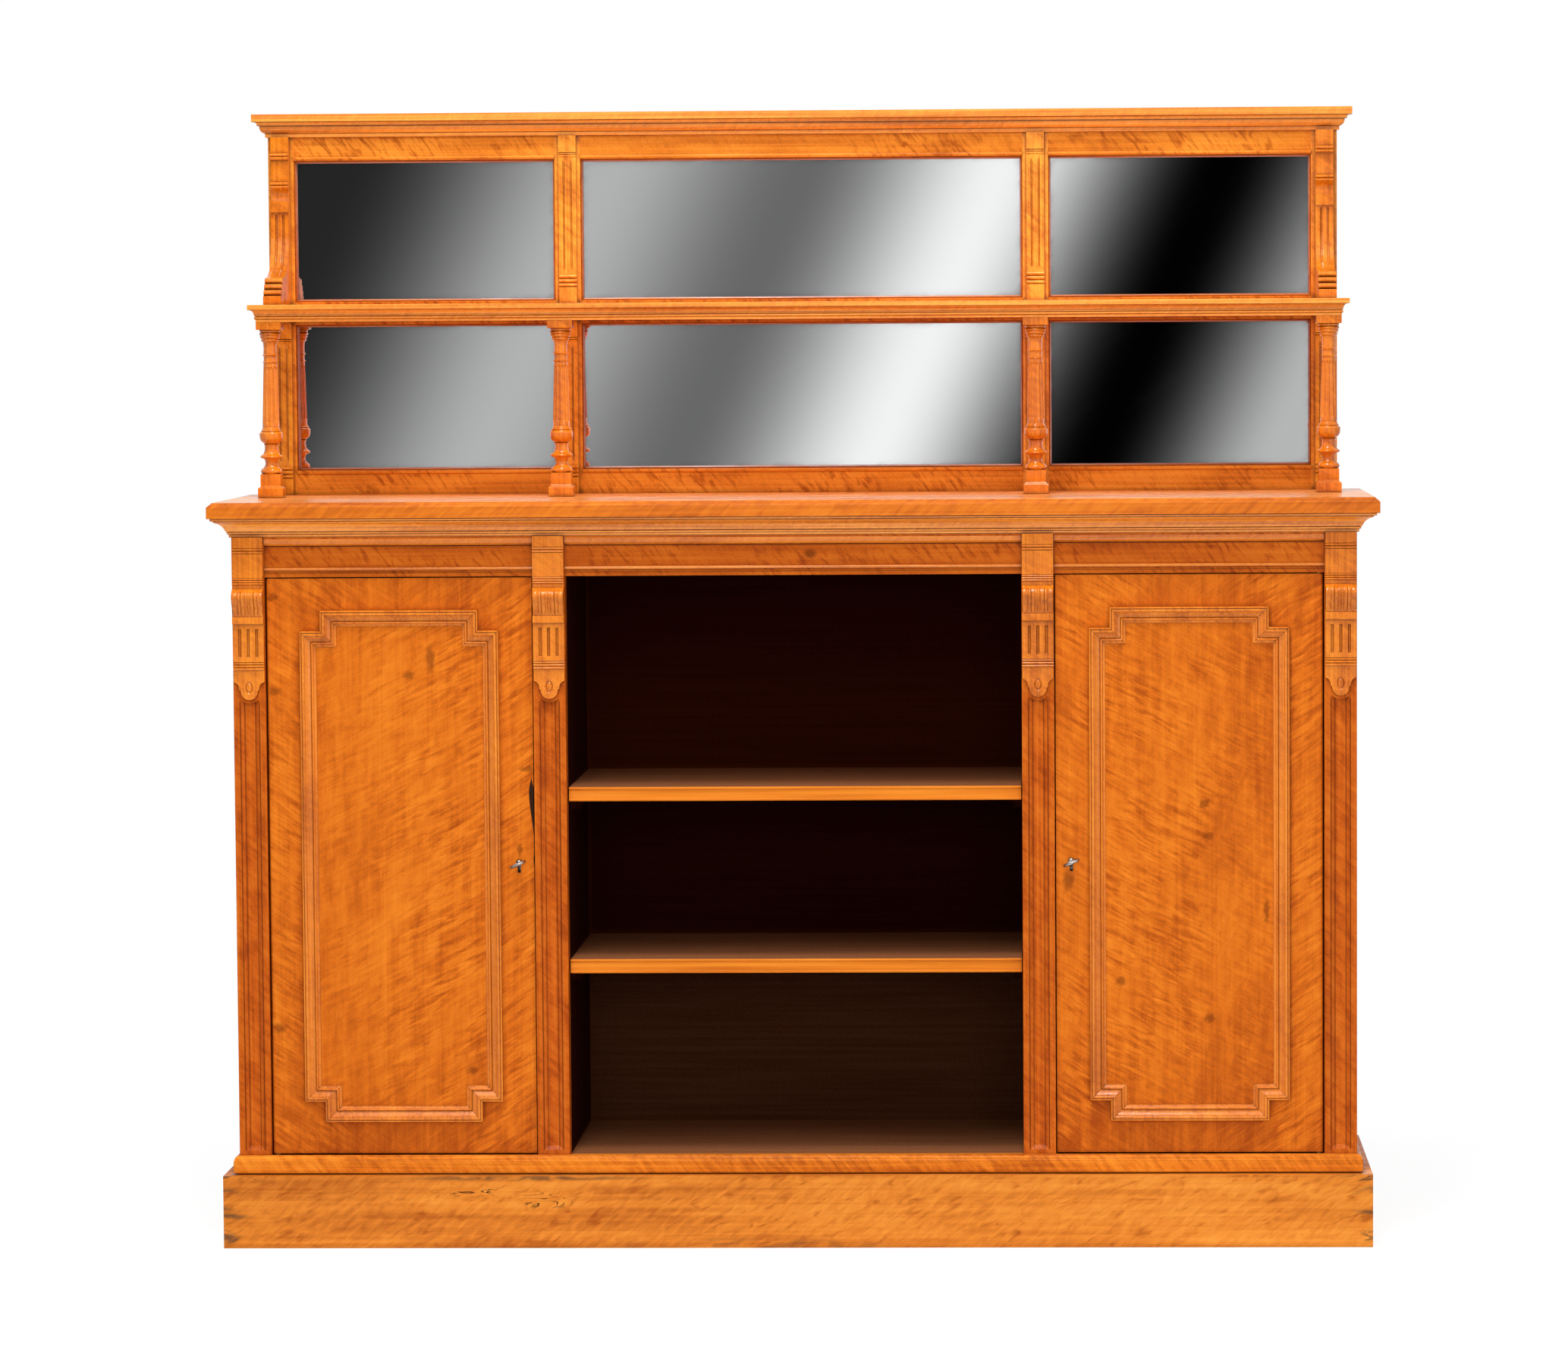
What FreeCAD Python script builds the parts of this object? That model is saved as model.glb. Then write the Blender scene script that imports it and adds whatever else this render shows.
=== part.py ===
import FreeCAD
import Part
import math
import os

Vec = FreeCAD.Vector
UP = Vec(0, 0, 1)
INWARD = Vec(0, 1, 0)

# Frame: millimetres, X to the viewer's right, front towards -Y, Z up, origin on the floor
# under the middle of the overall box.

# Carcass
CARCASS_WIDTH = 1475.0
CARCASS_DEPTH = 363.0
CARCASS_HEIGHT = 844.5
SIDE_THICK = 20.0
BACK_THICK = 10.0
BACK_BOARD_WIDTH = 120.0
BACK_VEE = 3.0
BASE_BOARD_THICK = 23.5
OPENING_WIDTH = 599.0
PARTITION_THICK = 20.0

# Plinth and base moulding
PLINTH_HEIGHT = 96.0
PLINTH_PROJECTION = 20.0
PLINTH_THICK = 22.0
CORNER_BLOCK = 45.0
BASE_MOULD_PROJECTION = 7.5
BASE_MOULD_SHADOW = 2.3
BASE_MOULD_FLAT = 16.0
BASE_MOULD_LIP = 2.0
BASE_MOULD_ARRIS = 1.0

# Counter top and the moulding under it
TOP_OVERHANG = 29.0
TOP_THICK = 21.0
TOP_BEVEL_RUN = 7.0
TOP_BEVEL_RISE = 6.0
CORNICE_HEIGHT = 25.0
CORNICE_PROJECTION = 25.0

# Front pilasters
PILASTER_WIDTH = 42.5
PILASTER_THICK = 28.0
PANEL_WIDTH = 25.0
PANEL_SPLAY = 5.5
PANEL_SINK = 4.0
PANEL_FOOT = 8.0
PANEL_HEAD_GAP = 5.0

# Corbels on the pilaster heads, listed from the top down
CORBEL_INSET = 0.8
CORBEL_FACE = 8.0
CORBEL_STEP = 1.0
CAP_HEIGHT = 14.0
BAND_HEIGHT = 8.0
BLOCK_HEIGHT = 31.5
UPPER_REED_HEIGHT = 9.0
SCROLL_FILLET = 5.0
SCROLL_HEIGHT = 37.0
SCROLL_SWELL = 10.0
SCROLL_FACETS = 5
LEDGE_HEIGHT = 9.5
LEDGE_STEP = 3.0
FLUTED_HEIGHT = 50.0
LOWER_REED_HEIGHT = 11.0
PLATE_HEIGHT = 15.0
PENDANT_DROP = 24.0
PENDANT_RADIUS = 12.0
PENDANT_THICK = 4.5
CORBEL_FLUTES = 3
CORBEL_FLUTE_PITCH = 9.0
CORBEL_FLUTE_HALF = 2.6
CORBEL_FLUTE_MARGIN = 7.0
SCROLL_GROOVE_WIDTH = 2.6
SCROLL_GROOVE_DEPTH = 1.4

# Friezes over the doors and the open bay
FRIEZE_HEIGHT = 78.0
FRIEZE_THICK = 22.0
FRIEZE_RECESS = 4.0
FRIEZE_FOOT = 7.0
FRIEZE_BEAD = 6.0
FRIEZE_BEAD_SWELL = 2.5
FRIEZE_COVE_HEIGHT = 11.5
FRIEZE_COVE_FILLET = 3.0
FRIEZE_COVE_OUT = 6.5

# Doors
DOOR_THICK = 22.0
DOOR_RECESS = 6.0
DOOR_GAP = 1.5
DOOR_FOOT_GAP = 3.3
MOULD_SIDE_MARGIN = 44.0
MOULD_END_MARGIN = 42.5
MOULD_NOTCH = 27.0
MOULD_WIDTH = 21.0
MOULD_HEIGHT = 9.0

# Pin hinges at the outer edge of each door
HINGE_SETBACK = 5.0
HINGE_ARRIS = 2.5
HINGE_PLATE_LENGTH = 50.0
HINGE_PLATE_WIDTH = 14.0
HINGE_PLATE_THICK = 3.0
HINGE_PLATE_MARGIN = 1.5
HINGE_PIN_RADIUS = 2.0
HINGE_COLLAR_RADIUS = 4.0
HINGE_END_CLEARANCE = 0.1
RUNNING_CLEARANCE = 0.2

# Locks, bolts and keys
KEY_HEIGHT = 508.0
KEY_BACKSET = 20.0
KEYHOLE_RADIUS = 4.5
KEYHOLE_SLOT_WIDTH = 4.0
KEYHOLE_SLOT_DROP = 13.0
LOCK_LENGTH = 45.0
LOCK_BELOW = 24.0
LOCK_ABOVE = 34.0
LOCK_DEPTH = 16.0
LOCK_WALL = 1.2
BOLT_HEIGHT = 12.0
BOLT_THICK = 4.0
BOLT_TAIL = 36.0
BOLT_RISE = 7.5
BOLT_SETBACK = 0.3
BOLT_THROW = 8.0
BOLT_SIDE_CLEARANCE = 0.2
TALON_WIDTH = 14.0
TALON_DEPTH = 4.0
STRIKE_CLEARANCE = 0.6
KEY_TURN = 180.0
KEY_TILT = 24.0
KEY_SHANK_RADIUS = 2.75
KEY_PIN_RADIUS = 1.2
KEY_BIT_RADIUS = 10.0
KEY_BIT_THICK = 2.5
KEY_BIT_LENGTH = 6.0
KEY_STEM = 9.0
KEY_COLLAR_RADIUS = 3.9
KEY_COLLAR_LENGTH = 3.0
KEY_CLEARANCE = 0.3
BOW_RADIUS = 12.0
BOW_RIM = 4.0
BOW_THICK = 4.0
BOW_SIDES = 16

# Shelves in the carcass
SHELF_THICK = 18.5
SHELF_RECESS = 18.5
SHELF_END_GAP = 1.5
SHELF_LIP_BEAD = 3.5
SHELF_LIP_SINK = 1.0
UPPER_SHELF_TOP = 606.5
LOWER_SHELF_TOP = 378.5
CUPBOARD_SHELF_TOP = 520.0
CUPBOARD_SHELF_SETBACK = 18.0
BEARER_WIDTH = 12.0
BEARER_HEIGHT = 14.0
BEARER_SETBACK = 45.0
DOOR_STOP_LAP = 10.0
DOOR_STOP_THICK = 14.0
DOOR_STOP_GAP = 0.3

# Mirrored gallery at the back of the counter
GALLERY_INSET = 10.0
GALLERY_FRAME_THICK = 15.0
GALLERY_BACK_THICK = 6.0
STILE_WIDTH = 35.0
INNER_STILE_OFFSET = 19.0
BOTTOM_RAIL_HEIGHT = 33.0
RAIL_BEAD = 5.5
RAIL_BEAD_SWELL = 2.5
MID_RAIL_LAP = 4.0
GALLERY_FRIEZE_HEIGHT = 32.0
MIRROR_THICK = 4.0
MIRROR_BEAD_WIDTH = 3.5
MIRROR_BEAD_HEIGHT = 9.0
UPPER_TIER_HEIGHT = 228.0
GALLERY_SHELF_THICK = 23.0
GALLERY_SHELF_FRONT = 164.0
GALLERY_SHELF_LIP = 7.0
GALLERY_SHELF_MOULD = 12.0
GALLERY_SHELF_SIDE = 9.5
GALLERY_CORNICE_HEIGHT = 31.0
GALLERY_CORNICE_OUT = 20.0

# Turned columns, listed from the counter up
COLUMN_OUT = 138.0
COLUMN_BLOCK_WIDTH = 33.5
COLUMN_BLOCK_NECK = 28.8
COLUMN_BLOCK_HEIGHT = 30.0
COLUMN_BLOCK_SQUARE = 14.0
COLUMN_BLOCK_SPLAY = 5.0
COLUMN_TORUS_HEIGHT = 8.2
COLUMN_TORUS_RADIUS = 14.2
COLUMN_TORUS_SWELL = 1.7
COLUMN_CAVETTO_HEIGHT = 11.0
COLUMN_CAVETTO_RADIUS = 9.5
COLUMN_CAVETTO_SINK = 1.2
COLUMN_SLOPE = 0.8
COLUMN_BULB_HEIGHT = 17.0
COLUMN_BULB_RADIUS = 15.4
COLUMN_BULB_FACETS = 5
COLUMN_RING_HEIGHT = 4.5
COLUMN_RING_RADIUS = 11.2
COLUMN_RING_SWELL = 2.0
SHAFT_HEIGHT = 89.0
SHAFT_FOOT_RADIUS = 10.5
SHAFT_HEAD_RADIUS = 9.2
SHAFT_FLUTES = 8
SHAFT_HOLLOW = 0.88
COLUMN_NECK_HEIGHT = 12.5
COLUMN_ECHINUS_HEIGHT = 7.0
CAP_RING_RADIUS = 14.0
CAP_RING_HEIGHT = 9.0
CAP_BLOCK_WIDTH = 31.5
COLUMN_HEIGHT = 236.0

# Flat fluted pilasters and end brackets of the gallery
STRIP_WIDTH = 24.0
STRIP_FACE = 4.0
STRIP_BLOCK_OUT = 6.0
STRIP_BASE_BLOCK = 22.0
STRIP_REED = 5.8
STRIP_BAND = 6.5
STRIP_CAP_BLOCK = 23.0
STRIP_FLUTES = 2
STRIP_FLUTE_PITCH = 9.0
STRIP_FLUTE_HALF = 3.0
STRIP_FLUTE_MARGIN = 8.0
BRACKET_THICK = 24.0
BRACKET_TOP_BLOCK = 22.0
BRACKET_HEAD_OUT = 20.0
BRACKET_BAND = 9.0
BRACKET_PLAIN = 30.0
BRACKET_COVE = 17.0
BRACKET_BLOCK = 15.0
BRACKET_FOOT_OUT = 112.0
BRACKET_FOOT_BLOCK = 12.0
BRACKET_FOOT_REEDS = 3
BRACKET_FOOT_REED = 8.0
BRACKET_FOOT_STEP = 7.0
BRACKET_BEND = 55.0
BRACKET_STEP = 4.0
BRACKET_GROOVE_WIDTH = 5.0
BRACKET_GROOVE_DEPTH = 1.6
BRACKET_GROOVE_PITCH = 9.0

# Levels and planes worked out from the sizes above
HALF_WIDTH = CARCASS_WIDTH / 2
FACE_Y = (TOP_OVERHANG - CARCASS_DEPTH) / 2
BACK_Y = FACE_Y + CARCASS_DEPTH
BACK_INSIDE_Y = BACK_Y - BACK_THICK
BEHIND_PILASTER_Y = FACE_Y + PILASTER_THICK
FLOOR_Z = PLINTH_HEIGHT + BASE_BOARD_THICK
COUNTER_Z = FLOOR_Z + CARCASS_HEIGHT
TOP_Z = COUNTER_Z + TOP_THICK
CORNICE_Z = COUNTER_Z - CORNICE_HEIGHT
FRIEZE_Z = COUNTER_Z - FRIEZE_HEIGHT
OPENING_HALF = OPENING_WIDTH / 2
INNER_EDGE_X = OPENING_HALF + PILASTER_WIDTH
OUTER_EDGE_X = HALF_WIDTH - PILASTER_WIDTH
SIDE_INSIDE_X = HALF_WIDTH - SIDE_THICK
PARTITION_OUT_X = OPENING_HALF + PARTITION_THICK

DOOR_LOCK_X = INNER_EDGE_X + DOOR_GAP
DOOR_HINGE_X = OUTER_EDGE_X - DOOR_GAP
DOOR_FACE_Y = FACE_Y + DOOR_RECESS
DOOR_BACK_Y = DOOR_FACE_Y + DOOR_THICK
DOOR_BOTTOM_Z = FLOOR_Z + DOOR_FOOT_GAP
DOOR_TOP_Z = FRIEZE_Z - DOOR_GAP
HINGE_X = DOOR_HINGE_X - HINGE_SETBACK
HINGE_Y = DOOR_FACE_Y + HINGE_SETBACK

KEY_X = DOOR_LOCK_X + KEY_BACKSET
LOCK_FRONT_Y = DOOR_BACK_Y - LOCK_DEPTH
BOLT_Y = LOCK_FRONT_Y + LOCK_DEPTH / 3
BOLT_Z = KEY_HEIGHT + BOLT_RISE

GALLERY_HALF = HALF_WIDTH - GALLERY_INSET
GALLERY_BACK_Y = BACK_Y - GALLERY_BACK_THICK
GALLERY_FACE_Y = GALLERY_BACK_Y - GALLERY_FRAME_THICK
MIRROR_FACE_Y = GALLERY_BACK_Y - MIRROR_THICK
GALLERY_SHELF_Z = TOP_Z + COLUMN_HEIGHT
GALLERY_SHELF_TOP_Z = GALLERY_SHELF_Z + GALLERY_SHELF_THICK
GALLERY_CORNICE_Z = GALLERY_SHELF_TOP_Z + UPPER_TIER_HEIGHT
GALLERY_FRIEZE_Z = GALLERY_CORNICE_Z - GALLERY_FRIEZE_HEIGHT
OUTER_STILE_X = GALLERY_HALF - STILE_WIDTH / 2
INNER_STILE_X = OPENING_HALF + INNER_STILE_OFFSET
STILE_CENTRES = (-OUTER_STILE_X, -INNER_STILE_X, INNER_STILE_X, OUTER_STILE_X)
BAYS = tuple((STILE_CENTRES[i] + STILE_WIDTH / 2, STILE_CENTRES[i + 1] - STILE_WIDTH / 2) for i in range(3))
MIRROR_TIERS = (
    (TOP_Z + BOTTOM_RAIL_HEIGHT, GALLERY_SHELF_Z - MID_RAIL_LAP),
    (GALLERY_SHELF_TOP_Z + MID_RAIL_LAP, GALLERY_FRIEZE_Z),
)
MIRROR_NAMES = ("lower_mirrors", "upper_mirrors")

# Bulge of an arc as a share of its chord: outlines run upwards, so a negative one swells outwards.
ROUND = -0.5
OVOLO = -0.207
COVE = 0.207
SAME_POINT = 1e-6

# Finish of small round work
REED_SWELL = 0.4
REED_FACETS = 3
FLUTE_SINK = 0.7
ROD_SIDES = 12
COLUMN_SIDES = 12


def board(x0, x1, y0, y1, z0, z1):
    """Plain board between two opposite corners."""
    return Part.makeBox(x1 - x0, y1 - y0, z1 - z0, Vec(x0, y0, z0))


def mirrored(shape):
    """The same piece on the other side of the middle."""
    return shape.mirror(Vec(0, 0, 0), Vec(1, 0, 0))


def outline(place, start, *steps):
    """Closed face: a step is (u, v) for a straight edge or (u, v, bulge) for an arc."""
    edges = []
    here = start
    for step in steps + (start,):
        there = step[:2]
        ends = place(*here), place(*there)
        if len(step) == 3:
            run, rise = there[0] - here[0], there[1] - here[1]
            middle = (here[0] + there[0]) / 2 - step[2] * rise, (here[1] + there[1]) / 2 + step[2] * run
            edges.append(Part.Arc(ends[0], place(*middle), ends[1]).toShape())
        elif not ends[0].isEqual(ends[1], SAME_POINT):
            edges.append(Part.LineSegment(*ends).toShape())
        here = there
    return Part.Face(Part.Wire(edges))


def across(profile, x0, x1, y):
    """Extrude an (out, z) profile along X, with out measured forwards from y."""
    face = outline(lambda out, z: Vec(x0, y - out, z), *profile)
    return face.extrude(Vec(x1 - x0, 0, 0))


def prism(points, z0, z1):
    """Upright prism over a plan polygon."""
    corners = [Vec(x, y, z0) for x, y in points]
    return Part.Face(Part.makePolygon(corners + corners[:1])).extrude(Vec(0, 0, z1 - z0))


def mitred_runs(profile, half, y_front, y_back):
    """Moulding on the front and both ends, mitred at the two front corners."""
    reach = max(point[0] for point in profile) + 1
    z0 = min(point[1] for point in profile)
    z1 = max(point[1] for point in profile)
    ends = half + reach
    front_plan = [(-half, y_front), (half, y_front), (ends, y_front - reach), (-ends, y_front - reach)]
    front = across(profile, -ends, ends, y_front).common(prism(front_plan, z0, z1))
    side_face = outline(lambda out, z: Vec(half + out, y_front - reach, z), *profile)
    side_plan = [(half, y_front), (ends, y_front - reach), (ends, y_back), (half, y_back)]
    side = side_face.extrude(Vec(0, y_back - y_front + reach, 0)).common(prism(side_plan, z0, z1))
    return front, mirrored(side), side


def moulded_board(profile, half, y_front, y_back):
    """One board whose front and end edges carry the profile."""
    z0 = min(point[1] for point in profile)
    z1 = max(point[1] for point in profile)
    core = board(-half, half, y_front, y_back, z0, z1)
    return core.fuse(list(mitred_runs(profile, half, y_front, y_back))).removeSplitter()


def framed_moulding(corners, profile, y_face):
    """Separate mitred lengths round a right-angled outline, listed anticlockwise from the front."""
    width = max(point[0] for point in profile)
    height = max(point[1] for point in profile)
    count = len(corners)
    ways = []
    for i in range(count):
        (x0, z0), (x1, z1) = corners[i], corners[(i + 1) % count]
        length = math.hypot(x1 - x0, z1 - z0)
        ways.append(((x1 - x0) / length, (z1 - z0) / length, length))

    def inside(i):
        before, after = ways[i - 1], ways[i]
        x, z = corners[i]
        return x - width * (before[1] + after[1]), z + width * (before[0] + after[0])

    lengths = []
    for i in range(count):
        j = (i + 1) % count
        run, rise, length = ways[i]
        start = Vec(corners[i][0] - run * width, y_face, corners[i][1] - rise * width)
        inward, along = Vec(-rise, 0, run), Vec(run, 0, rise)
        face = outline(lambda w, h: start + inward * w + Vec(0, -h, 0), *profile)
        bar = face.extrude(along * (length + 2 * width))
        plan = [Vec(x, y_face - height, z) for x, z in (corners[i], corners[j], inside(j), inside(i))]
        keep = Part.Face(Part.makePolygon(plan + plan[:1])).extrude(Vec(0, height, 0))
        lengths.append(bar.common(keep))
    return lengths


def rectangle(x0, x1, z0, z1):
    """Corners of an upright rectangle, anticlockwise from the front."""
    return [(x0, z0), (x1, z0), (x1, z1), (x0, z1)]


def splayed_pocket(x0, x1, z0, z1, y, sink, splay):
    """Cutter for a sunk panel with sloping edges in a face at y."""
    wires = []
    for depth, inset in ((-sink, -splay), (sink, splay)):
        corners = rectangle(x0 + inset, x1 - inset, z0 + inset, z1 - inset)
        wires.append(Part.makePolygon([Vec(x, y + depth, z) for x, z in corners + corners[:1]]))
    return Part.makeLoft(wires, True, True)


def spread(count, pitch):
    """Offsets of evenly spaced repeats about zero."""
    return [(i - (count - 1) / 2) * pitch for i in range(count)]


def swelling(out, z, height, swell, facets):
    """Curve that leaves and comes back to one plane, upwards, as outline steps."""
    turns = [math.pi * (i + 1) / facets for i in range(facets)]
    return [(out + swell * math.sin(turn), z + height * turn / math.pi) for turn in turns]


def reeds(out, z, height, count):
    """Reeds stacked upwards, as outline steps."""
    step = height / count
    path = []
    for i in range(count):
        path += swelling(out, z + step * i, step, step * REED_SWELL, REED_FACETS)
    return path


def flutes(x, y, z0, z1, count, pitch, half):
    """Upright cutters for flutes in a face at y, spaced about x."""
    middles = [x + offset for offset in spread(count, pitch)]
    sink = half * FLUTE_SINK
    return [splayed_pocket(middle - half, middle + half, z0, z1, y, sink, sink) for middle in middles]


def rod(radius, start, way, length, sides=ROD_SIDES):
    """Small round bar from a start point, drawn with a set number of flats."""
    turn = 360 / sides
    out = Vec(0, 0, radius) if way.z == 0 else Vec(radius, 0, 0)
    spin = FreeCAD.Rotation(way, turn)
    corners = [out]
    for _ in range(sides):
        corners.append(spin.multVec(corners[-1]))
    corners[-1] = out
    return Part.Face(Part.makePolygon([start + corner for corner in corners])).extrude(way * length)


def make_plinth():
    """Front, ends and back of the loose plinth, with blocks in its corners."""
    half = HALF_WIDTH + PLINTH_PROJECTION
    front_y = FACE_Y - PLINTH_PROJECTION
    inside_x = half - PLINTH_THICK
    inside_y = front_y + PLINTH_THICK
    back_y = BACK_Y - PLINTH_THICK
    end = board(inside_x, half, inside_y, BACK_Y, 0, PLINTH_HEIGHT)
    blocks = []
    for y, way in ((inside_y, 1), (back_y, -1)):
        plan = [(inside_x, y), (inside_x, y + way * CORNER_BLOCK), (inside_x - CORNER_BLOCK, y)]
        block = prism(plan, 0, PLINTH_HEIGHT)
        blocks += [block, mirrored(block)]
    return {
        "plinth_front": [board(-half, half, front_y, inside_y, 0, PLINTH_HEIGHT)],
        "plinth_left_end": [mirrored(end)],
        "plinth_right_end": [end],
        "plinth_back": [board(-inside_x, inside_x, back_y, BACK_Y, 0, PLINTH_HEIGHT)],
        "plinth_corner_blocks": blocks,
    }


def make_base():
    """Bottom board of the carcass and the moulding round it."""
    z0 = PLINTH_HEIGHT + BASE_MOULD_SHADOW
    z1 = FLOOR_Z + BASE_MOULD_LIP
    bead = z0 + BASE_MOULD_FLAT
    out = BASE_MOULD_PROJECTION
    edge = BASE_MOULD_ARRIS
    profile = (
        (0, z0), (out, z0), (out, bead), (out - edge, bead + edge),
        (out / 4, z1 - edge, OVOLO), (out / 4, z1), (0, z1),
    )
    base = board(-HALF_WIDTH, HALF_WIDTH, FACE_Y, BACK_Y, PLINTH_HEIGHT, FLOOR_Z)
    seat = hinge_plate(FLOOR_Z - HINGE_PLATE_THICK, FLOOR_Z)
    base = base.cut([seat, mirrored(seat)])
    return {
        "base_board": [base],
        "base_moulding": mitred_runs(profile, HALF_WIDTH, FACE_Y, BACK_Y),
    }


def hinge_plate(z0, z1):
    """Plate at the hinge edge of a door, and the block that cuts its seat."""
    x, y = DOOR_HINGE_X - HINGE_PLATE_MARGIN, DOOR_FACE_Y + HINGE_PLATE_MARGIN
    return board(x - HINGE_PLATE_LENGTH, x, y, y + HINGE_PLATE_WIDTH, z0, z1)


def hinge_socket(z0, z1):
    """Plate let into the carcass, with the hole that a hinge pin turns in."""
    hole = rod(HINGE_PIN_RADIUS + RUNNING_CLEARANCE, Vec(HINGE_X, HINGE_Y, z0), UP, z1 - z0)
    return hinge_plate(z0, z1).cut(hole)


def make_hinges():
    """Socket plates in the carcass and pivot plates in the doors, at the top and foot of each door."""
    thick = HINGE_PLATE_THICK
    low = hinge_socket(FLOOR_Z - thick, FLOOR_Z)
    high = hinge_socket(FRIEZE_Z, FRIEZE_Z + thick)
    pivots = [
        hinge_pivot(DOOR_BOTTOM_Z, FLOOR_Z, -1),
        hinge_pivot(DOOR_TOP_Z, FRIEZE_Z, 1),
    ]
    return {
        "hinge_sockets": [low, high, mirrored(low), mirrored(high)],
        "right_hinge_pivots": pivots,
        "left_hinge_pivots": [mirrored(pivot) for pivot in pivots],
    }


def hinge_pivot(face, seat, way):
    """Plate let into a door end, with a collar that meets the seat and a pin in one piece."""
    start = Vec(HINGE_X, HINGE_Y, face)
    room = abs(seat - face) - HINGE_END_CLEARANCE
    collar = rod(HINGE_COLLAR_RADIUS, start, UP * way, room)
    pin = rod(HINGE_PIN_RADIUS, start, UP * way, room + HINGE_PLATE_THICK)
    plate = hinge_plate(*sorted((face, face - way * HINGE_PLATE_THICK)))
    return plate.fuse([collar, pin]).removeSplitter()


def make_carcass():
    """Sides, partitions, back and the battens inside."""
    side = board(SIDE_INSIDE_X, HALF_WIDTH, BEHIND_PILASTER_Y, BACK_Y, FLOOR_Z, COUNTER_Z)
    partition = board(OPENING_HALF, PARTITION_OUT_X, BEHIND_PILASTER_Y, BACK_INSIDE_Y, FLOOR_Z, COUNTER_Z)
    back = board(-SIDE_INSIDE_X, SIDE_INSIDE_X, BACK_INSIDE_Y, BACK_Y, FLOOR_Z, COUNTER_Z)
    joints = int(2 * SIDE_INSIDE_X // BACK_BOARD_WIDTH)
    vees = []
    for x in spread(joints, 2 * SIDE_INSIDE_X / (joints + 1)):
        plan = [(x - BACK_VEE, BACK_Y), (x, BACK_Y - BACK_VEE), (x + BACK_VEE, BACK_Y)]
        vees.append(prism(plan, FLOOR_Z, COUNTER_Z))
    return {
        "left_side_panel": [mirrored(side)],
        "right_side_panel": [side],
        "left_partition": [mirrored(partition)],
        "right_partition": [partition],
        "carcass_back": [back.cut(vees)],
    }


def make_shelves():
    """Lipped shelves of the open bay, cupboard shelves, their bearers and the door stops."""
    half = OPENING_HALF - SHELF_END_GAP
    battens = []

    def bearer(x, way, shelf_top):
        top = shelf_top - SHELF_THICK
        ends = sorted((x, x + way * BEARER_WIDTH))
        return board(*ends, BEHIND_PILASTER_Y + BEARER_SETBACK, BACK_INSIDE_Y, top - BEARER_HEIGHT, top)

    def lipped_shelf(top):
        bottom = top - SHELF_THICK
        deep = FACE_Y - BACK_INSIDE_Y
        sunk = -SHELF_RECESS - SHELF_LIP_SINK
        bead = SHELF_LIP_BEAD
        profile = [(deep, bottom), (sunk, bottom)] + reeds(sunk, bottom, bead, 1)
        profile += [(sunk, top - bead)] + reeds(sunk, top - bead, bead, 1) + [(deep, top)]
        return across(profile, -half, half, FACE_Y)

    for top in (UPPER_SHELF_TOP, LOWER_SHELF_TOP):
        battens.append(bearer(OPENING_HALF, -1, top))
    battens.append(bearer(PARTITION_OUT_X, 1, CUPBOARD_SHELF_TOP))
    battens.append(bearer(SIDE_INSIDE_X, -1, CUPBOARD_SHELF_TOP))
    stop_y = DOOR_BACK_Y + DOOR_STOP_GAP
    stop_x = DOOR_LOCK_X + DOOR_STOP_LAP
    battens.append(board(PARTITION_OUT_X, stop_x, stop_y, stop_y + DOOR_STOP_THICK, FLOOR_Z, FRIEZE_Z))
    cupboard = board(
        PARTITION_OUT_X + SHELF_END_GAP, SIDE_INSIDE_X - SHELF_END_GAP,
        stop_y + CUPBOARD_SHELF_SETBACK, BACK_INSIDE_Y,
        CUPBOARD_SHELF_TOP - SHELF_THICK, CUPBOARD_SHELF_TOP,
    )
    return {
        "upper_centre_shelf": [lipped_shelf(UPPER_SHELF_TOP)],
        "lower_centre_shelf": [lipped_shelf(LOWER_SHELF_TOP)],
        "left_cupboard_shelf": [mirrored(cupboard)],
        "right_cupboard_shelf": [cupboard],
        "shelf_bearers_and_stops": battens + [mirrored(batten) for batten in battens],
    }


def make_pilasters():
    """Front pilasters with a sunk panel that follows the corbel's drop."""
    drop_z = corbel_foot() + PENDANT_RADIUS
    strike = board(
        INNER_EDGE_X - BOLT_THROW - STRIKE_CLEARANCE, INNER_EDGE_X,
        BOLT_Y - STRIKE_CLEARANCE, BOLT_Y + BOLT_THICK + STRIKE_CLEARANCE,
        BOLT_Z - STRIKE_CLEARANCE, BOLT_Z + BOLT_HEIGHT + STRIKE_CLEARANCE,
    )
    made = {}
    for name, x0 in (("inner", OPENING_HALF), ("outer", OUTER_EDGE_X)):
        middle = x0 + PILASTER_WIDTH / 2
        post = board(x0, x0 + PILASTER_WIDTH, FACE_Y, BEHIND_PILASTER_Y, FLOOR_Z, COUNTER_Z)
        half = PANEL_WIDTH / 2
        pocket = splayed_pocket(
            middle - half, middle + half, FLOOR_Z + PANEL_FOOT, drop_z, FACE_Y, PANEL_SINK, PANEL_SPLAY
        )
        centre = Vec(middle, FACE_Y - 2 * PANEL_SINK, drop_z)
        arch = Part.makeCylinder(PENDANT_RADIUS + PANEL_HEAD_GAP, 4 * PANEL_SINK, centre, INWARD)
        post = post.cut(pocket.cut(arch))
        if name == "inner":
            post = post.cut(strike)
        made["left_%s_pilaster" % name] = [mirrored(post)]
        made["right_%s_pilaster" % name] = [post]
    return made


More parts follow.
